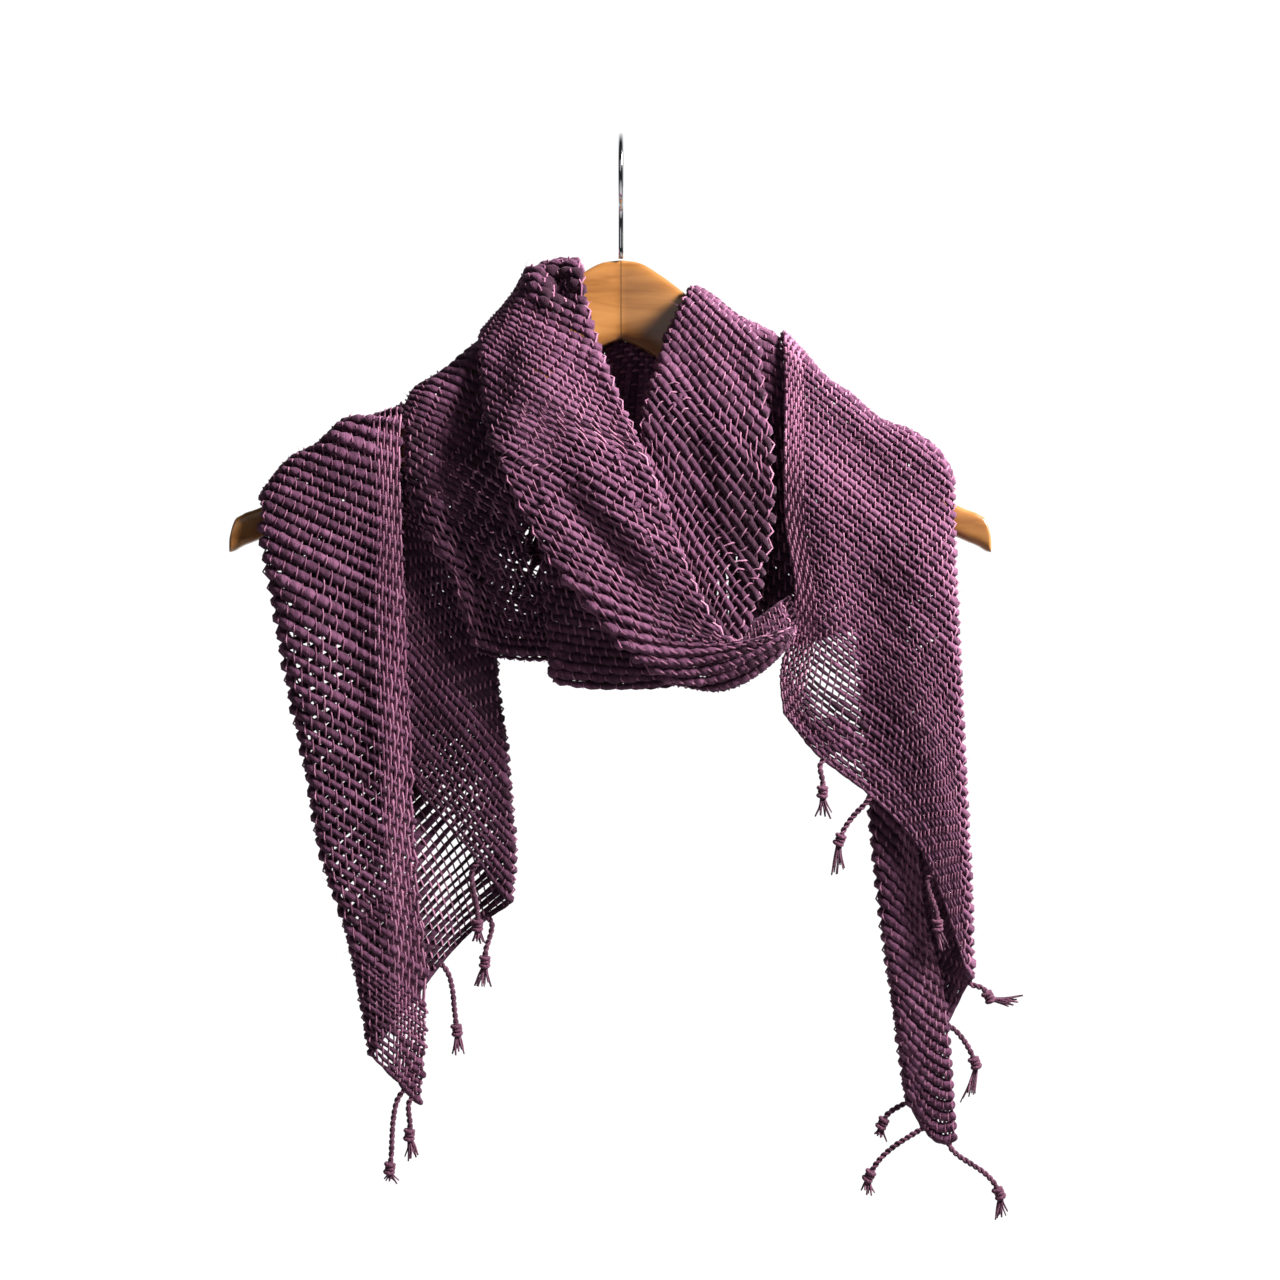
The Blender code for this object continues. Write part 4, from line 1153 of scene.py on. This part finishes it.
def yarn_look(name, stops, turn, painted_crown_light, bump):
    """Spun cotton with painted light on its crown and painted shade at its sides, with fibres that twist
    round it.
    """
    made, tree, shader = look(
        name,
        {
            "Roughness": 0.9,
            "Sheen Weight": 0.2,
            "Sheen Roughness": 0.45,
            "Sheen Tint": SHEEN,
            "Specular IOR Level": 0.2,
        },
    )
    tone = tree.nodes.new("ShaderNodeAttribute")
    tone.attribute_name = "tone"
    parts = tree.nodes.new("ShaderNodeSeparateXYZ")
    tree.links.new(node(tree, "TexCoord", {}, "UV"), parts.inputs[0])
    along, round_it = parts.outputs[0], parts.outputs[1]
    angle = maths(tree, "ADD", maths(tree, "DIVIDE", along, turn), round_it)
    strands = maths(tree, "SINE", maths(tree, "MULTIPLY", angle, 4 * math.pi))
    stretched = {
        0: maths(tree, "MULTIPLY", along, FIBRES_ALONG),
        1: maths(tree, "MULTIPLY", angle, FIBRES_ROUND),
    }
    noise = {"Vector": node(tree, "CombineXYZ", stretched), "Scale": 1.0, "Detail": 5.0, "Roughness": 0.7}
    fibres = node(tree, "TexNoise", noise, "Fac")
    height = maths(tree, "MULTIPLY_ADD", strands, PLY_MARK, fibres)
    # Painted light and shade round each yarn: lighter on its crown, darker at its sides towards the gaps
    crown = maths(tree, "ABSOLUTE", maths(tree, "SINE", maths(tree, "MULTIPLY", round_it, 2 * math.pi)))
    lowered = maths(tree, "SUBTRACT", tone.outputs["Fac"], SHADE_LEVEL + SHADE_PAINTED_CROWN * painted_crown_light)
    level = maths(tree, "MULTIPLY_ADD", crown, painted_crown_light, lowered)
    shade = maths(tree, "MULTIPLY_ADD", height, SHADE_DEPTH, level)
    raised = bumped(tree, height, bump, RELIEF)
    plugged(tree, shader, {"Base Color": ramp(tree, shade, stops), "Normal": raised})
    return made


WEFT_LOOK = yarn_look(
    "weft",
    ((0.10, (0.030, 0.008, 0.020)), (0.85, (0.20, 0.078, 0.148)), (0.5, (0.102, 0.034, 0.074))),
    turn=9.0,
    painted_crown_light=0.40,
    bump=0.9,
)
WARP_LOOK = yarn_look(
    "warp",
    ((0.15, (0.18, 0.062, 0.115)), (0.85, (0.48, 0.23, 0.34)), (0.5, (0.32, 0.13, 0.22))),
    turn=3.0,
    painted_crown_light=0.0,
    bump=0.5,
)
TASSEL_LOOK = yarn_look(
    "tassel_yarn",
    ((0.15, (0.040, 0.012, 0.026)), (0.85, (0.23, 0.09, 0.15)), (0.5, (0.11, 0.038, 0.072))),
    turn=4.0,
    painted_crown_light=0.1,
    bump=0.8,
)


def fitted_normals(path, side):
    """A direction square to each point of a path, carried along it without twist."""
    normals = []
    for tangent in unit(np.gradient(path, axis=0)):
        side = unit(side - tangent * side.dot(tangent))
        normals.append(side)
    return np.array(normals)


def twisted_cord(yarn, path):
    """Two plies twisted round each other along a path."""
    normals = fitted_normals(path, np.array(CORD_FACING))
    others = np.cross(unit(np.gradient(path, axis=0)), normals)
    lengths = run_lengths(path)
    fine = np.linspace(0.0, lengths[-1], max(LEAST_CORD_RINGS, int(lengths[-1] / PLY_STEP)))
    line, normal, other = [taken(values, lengths, fine) for values in (path, normals, others)]
    normal, other = unit(normal), unit(other)
    plies = []
    ply_normals = []
    for ply in range(2):
        angle = (2 * math.pi * fine / PLY_TURN + math.pi * ply)[:, None]
        away = np.cos(angle) * normal + np.sin(angle) * other
        plies.append(line + PLY_OFFSET * away)
        ply_normals.append(away)
    radius = np.full((2, len(fine)), PLY_RADIUS) * (1 + PLY_SLUB * wandering(2, len(fine), 8, 30))
    tone = 0.5 + PLY_TONE * wandering(2, len(fine), 10, 40)
    yarn.add(np.array(plies), np.array(ply_normals), radius, PLY_SIDES, tone)


def tied_knot(yarn, knot, hang, side, front):
    """A yarn wound round a core, slanting as it goes."""
    turns = np.linspace(0.0, KNOT_TURNS * 2 * math.pi, KNOT_RINGS)
    bulge = KNOT_RADIUS - KNOT_YARN + KNOT_SWELL * np.sin(turns * 0.5)
    wrap = (
        knot
        + hang * (WRAP_START + (KNOT_LENGTH - WRAP_INSET) * (turns / turns[-1]))[:, None]
        + (np.cos(turns) * bulge)[:, None] * side
        + (np.sin(turns) * bulge)[:, None] * front
        + hang * (KNOT_SLANT * np.sin(turns + KNOT_SLANT_TURN))[:, None]
    )
    ring = np.ones((1, KNOT_RINGS))
    yarn.add(wrap[None], fitted_normals(wrap, hang)[None], KNOT_YARN * ring, PLY_SIDES, KNOT_TONE * ring)
    shares = np.linspace(0, 1, CORE_RINGS)
    core = np.array([knot - hang * CORE_PAST + hang * (KNOT_LENGTH + CORE_PAST) * s for s in shares])
    ring = np.ones((1, CORE_RINGS))
    yarn.add(core[None], fitted_normals(core, side)[None], CORE_RADIUS * ring, CORE_SIDES, CORE_TONE * ring)


def frayed_end(yarn, tassel, knot, hang, side, front):
    """Loose strands that spread and curl below the knot."""
    root = knot + hang * KNOT_LENGTH * STRAND_ROOT
    tip = np.array([tassel.end_x, knot[1], tassel.end_z])
    parts = np.linspace(0.0, 1.0, STRAND_RINGS)[:, None]
    strands = []
    for k in range(STRANDS):
        angle = 2 * math.pi * k * GOLDEN_TURN
        spread = math.sqrt((k + 0.5) / STRANDS)
        away = spread * (math.cos(angle) * side + STRAND_FLATNESS * math.sin(angle) * front)
        reach = random.uniform(*STRAND_REACH) * (tip - root)
        curl = random.uniform(-1.0, 1.0, 3)
        splayed = away * tassel.splay * STRAND_SPLAY * parts**STRAND_LATE
        curled = curl * STRAND_CURL * np.sin(2 * math.pi * STRAND_WAVES * parts) * parts
        strands.append(root + away * STRAND_APART + reach * parts + splayed + curled)
    normals = [fitted_normals(strand, side) for strand in strands]
    radii = STRAND_RADIUS * (1 - STRAND_TAPER * parts.T**2) * random.uniform(*STRAND_SIZES, (STRANDS, 1))
    tones = STRAND_TONE + PLY_TONE * random.standard_normal((STRANDS, 1)) * np.ones((1, STRAND_RINGS))
    yarn.add(np.array(strands), np.array(normals), radii, STRAND_SIDES, tones)


def tassel_piece(tail, tassel):
    """A cord that curves from the hem down to its knot, with the frayed end below."""
    hem, run = hem_point(tail, tassel.across)
    start = hem - run * CORD_INSIDE
    knot = np.array([tassel.knot_x, hem[1] + tassel.lift, tassel.knot_z])
    reach = np.linalg.norm(knot - start)
    hang = unit((knot - start) / reach + np.array([0.0, 0.0, -CORD_WEIGHT]))
    side = unit(np.cross(hang, [0.0, 1.0, 0.0]))
    front = np.cross(hang, side)
    out = [start + run * CORD_STRAIGHT, start + run * (CORD_STRAIGHT + CORD_OUTWARD * reach)]
    curve = out + [knot - hang * CORD_DOWNWARD * reach, knot]
    path = [start] + [bezier(curve, k / CORD_STEPS) for k in range(CORD_STEPS + 1)]
    yarn = Yarns()
    twisted_cord(yarn, np.array(path + [knot + hang * CORD_IN_KNOT]))
    tied_knot(yarn, knot, hang, side, front)
    frayed_end(yarn, tassel, knot, hang, side, front)
    made = yarn.piece(tassel.name + "_yarn", TASSEL_LOOK)
    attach(made, "root")
    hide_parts(tassel.name)


# Woven stretches
woven = {}
tops = {}
for sheet in TAILS:
    lines = tail_lines(sheet)
    woven[sheet.name] = woven_grid(lines, True, CLOTHS[sheet.name], TILTS[sheet.name])
    tops[sheet.name] = [line[: TAIL_SPANS[0] + 1, :3] for line in (lines[0], lines[2])]
for sheet in LOOPS:
    if sheet.name == "right_fold":
        sheet = sheet._replace(crest=PUFFED_CREST)
    if sheet.name == "neck_loop":
        sheet = sheet._replace(creases=sheet.creases + POCKET)
    if sheet.name in ("neck_loop", "right_neck", "left_drape"):
        rolled = [
            row._replace(curl_l=max(row.curl_l, LEAST_CURL), curl_r=max(row.curl_r, LEAST_CURL))
            for row in sheet.rows[1:]
        ]
        sheet = sheet._replace(rows=sheet.rows[:1] + rolled)
    lines = loop_lines(sheet)
    woven[sheet.name] = woven_grid(lines, False, CLOTHS[sheet.name], TILTS.get(sheet.name, STRAIGHT))
    tops[sheet.name] = [line[:, :3] for line in (lines[0], lines[2])]
tops["neck_loop"] = [line[::-1] for line in tops["neck_loop"]]
share = np.linspace(0.0, 1.0, BACK_COLUMNS)
outer_layer = np.zeros(BACK_COLUMNS)
well_below = np.ones(BACK_COLUMNS)
for back, start, finish in (
    (BACK_LEFT, "left_tail", "right_neck"),
    (BACK_RIGHT, "neck_loop", "right_tail"),
):
    grid = back_grid(back, end_rows(*tops[start], share), end_rows(*tops[finish], share), share)
    lines = [np.column_stack([line, outer_layer, well_below]) for line in grid]
    woven[back.name] = woven_grid(lines, True, CLOTHS[back.name], STRAIGHT)

for name, crossings in woven.items():
    wefts, warps = weave(name, crossings, CLOTHS[name])
    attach(wefts, "root")
    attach(warps, "root")
    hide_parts(name)

# Hanger
WOOD_LOOK, tree, shader = look(
    "hanger_wood", {"Roughness": 0.32, "Coat Weight": 0.35, "Coat Roughness": 0.2}
)
places = node(tree, "TexCoord", {}, "Object")
lengthwise = node(tree, "Mapping", {"Vector": places, "Scale": (14.0, 40.0, 75.0)}, "Vector")
noise = {"Vector": lengthwise, "Scale": 1.0, "Detail": 7.0, "Distortion": 1.1}
grain = node(tree, "TexNoise", noise, "Fac")
stops = ((0.3, (0.19, 0.070, 0.016)), (0.75, (0.38, 0.172, 0.052)), (0.5, (0.29, 0.122, 0.032)))
joint = maths(tree, "COMPARE", node(tree, "SeparateXYZ", {0: places}), 0.0, 0.00032)
jointed = tree.nodes.new("ShaderNodeMix")
jointed.data_type = "RGBA"
plugged(tree, jointed, {"Factor": joint, "A": ramp(tree, grain, stops), "B": (0.10, 0.045, 0.015, 1.0)})
raised = bumped(tree, grain, 0.12, 0.0004)
plugged(tree, shader, {"Base Color": jointed.outputs["Result"], "Normal": raised})

tip_turns = np.linspace(0.04, math.pi / 2, TIP_STATIONS)
tip_start = ARM_REACH - TIP_LENGTH
straight = np.linspace(0.0, tip_start, ARM_STATIONS)
reaches = np.concatenate([straight, tip_start + TIP_LENGTH * np.sin(tip_turns)])
stations = [(-x * ARM_LEFT_SCALE, x) for x in reaches[:0:-1]] + [(x * ARM_RIGHT_SCALE, x) for x in reaches]
angles = 2 * math.pi * (np.arange(ARM_SIDES) + 0.5) / ARM_SIDES
up = np.copysign(np.abs(np.sin(angles)) ** ROUND_EDGES, np.sin(angles))
out = np.copysign(np.abs(np.cos(angles)) ** FLAT_FACES, np.cos(angles))
points = []
for x, reach in stations:
    top = through(TOP_LINE, np.array([reach]))[0]
    bottom = through(BOTTOM_LINE, np.array([reach]))[0]
    thick = ARM_THICKNESS / 2 * min(1.0, (top - bottom) / ARM_THICKNESS)
    height = (top + bottom) / 2 + (top - bottom) / 2 * up
    depth = middle_y(x) + CENTRE_SET_BACK * max(0.0, 1.0 - abs(x) / CENTRE_REACH) + thick * out
    points.append(np.stack([np.full(ARM_SIDES, x), depth, height], axis=1))
points = np.concatenate(points) * MM
faces = []
for r in range(len(stations) - 1):
    for k in range(ARM_SIDES):
        after = (k + 1) % ARM_SIDES
        near, far = r * ARM_SIDES, (r + 1) * ARM_SIDES
        faces.append([near + k, far + k, far + after, near + after])
faces.append(list(range(ARM_SIDES)))
faces.append([(len(stations) - 1) * ARM_SIDES + k for k in range(ARM_SIDES)][::-1])
mesh = bpy.data.meshes.new("hanger_wood")
mesh.from_pydata([tuple(p) for p in points], [], faces)
mesh.polygons.foreach_set("use_smooth", [True] * len(mesh.polygons))
mesh.update()
hanger = added("hanger_wood", mesh, WOOD_LOOK)
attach(hanger, "root")
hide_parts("hanger")

# Hook
CHROME_LOOK = look(
    "hook_chrome", {"Roughness": 0.14, "Metallic": 1.0, "Base Color": (0.62, 0.63, 0.65, 1.0)}
)[0]
join = on_crown(JOIN_ANGLE)
tangent = np.array([0.0, math.cos(math.radians(JOIN_ANGLE)), -math.sin(math.radians(JOIN_ANGLE))])
bend = [[0.0, 0.0, SHANK_BEND_Z], [0.0, 0.0, SHANK_BEND_Z + 8], join - tangent * 6, join]
path = [[0.0, 0.0, SHANK_FOOT_Z], [0.0, 0.0, (SHANK_FOOT_Z + SHANK_BEND_Z) / 2]]
path += [bezier(bend, k / BEND_STEPS) for k in range(BEND_STEPS)]
path += [on_crown(JOIN_ANGLE + (TIP_ANGLE - JOIN_ANGLE) * k / CROWN_STEPS) for k in range(CROWN_STEPS + 1)]
path = np.array(path, float)
radii = np.full(len(path), WIRE_RADIUS)
radii[-3:] = WIRE_RADIUS * np.array([0.97, 0.85, 0.5])
wire = Yarns()
sides = fitted_normals(path, np.array([0.05, -0.99, 0.1]))
wire.add(path[None], sides[None], radii[None], WIRE_SIDES, np.full((1, len(path)), 0.5))
hook = wire.piece("hook_wire", CHROME_LOOK)
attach(hook, "root")
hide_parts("hook")

for tassel in LEFT_TASSELS:
    tassel_piece(LEFT_TAIL, tassel)
for tassel in RIGHT_TASSELS:
    tassel_piece(RIGHT_TAIL, tassel)

# Floor, light and camera
FLOOR_LOOK = look("floor_pale", {"Roughness": 0.9, "Base Color": (0.70, 0.70, 0.70, 1.0)})[0]
bpy.ops.mesh.primitive_plane_add(size=4.0, location=(0.0, 0.0, -1.45))
floor = bpy.context.object
floor.name = "floor"
floor.data.materials.append(FLOOR_LOOK)

world = bpy.data.worlds.new("studio")
world.use_nodes = True
tree = world.node_tree
background = tree.nodes["Background"]
background.inputs["Strength"].default_value = 1.0
away = node(tree, "SeparateXYZ", {0: node(tree, "TexCoord", {}, "Generated")}, 1)
behind = maths(tree, "MULTIPLY_ADD", away, 0.5, 0.5)
glow = ramp(tree, behind, ((0.55, (0.020, 0.020, 0.022)), (0.90, (1.05, 1.05, 1.05))))
tree.links.new(glow, background.inputs["Color"])
bpy.context.scene.world = world


def area_light(name, place, size, power, color):
    """A square lamp, turned to the middle of the scarf."""
    data = bpy.data.lights.new(name, "AREA")
    data.size = size
    data.energy = power
    data.color = color
    lamp = added(name, data)
    lamp.location = place
    direction = mathutils.Vector((0.0, 0.0, -0.3)) - mathutils.Vector(place)
    lamp.rotation_euler = direction.to_track_quat("-Z", "Y").to_euler()


area_light("key", (0.82, -0.38, 0.40), size=0.3, power=55.0, color=(1.0, 0.975, 0.95))
area_light("fill", (-0.5, -1.7, 0.3), size=1.0, power=2.5, color=(0.96, 0.97, 1.0))

lens = bpy.data.cameras.new("camera")
lens.lens = 85.0
lens.sensor_width = 36.0
camera = added("camera", lens)
camera.location = (0.0113, -1.795, -0.298)
camera.rotation_euler = (math.pi / 2, 0.0, 0.0)
bpy.context.scene.camera = camera
bpy.context.scene.view_settings.view_transform = "Standard"
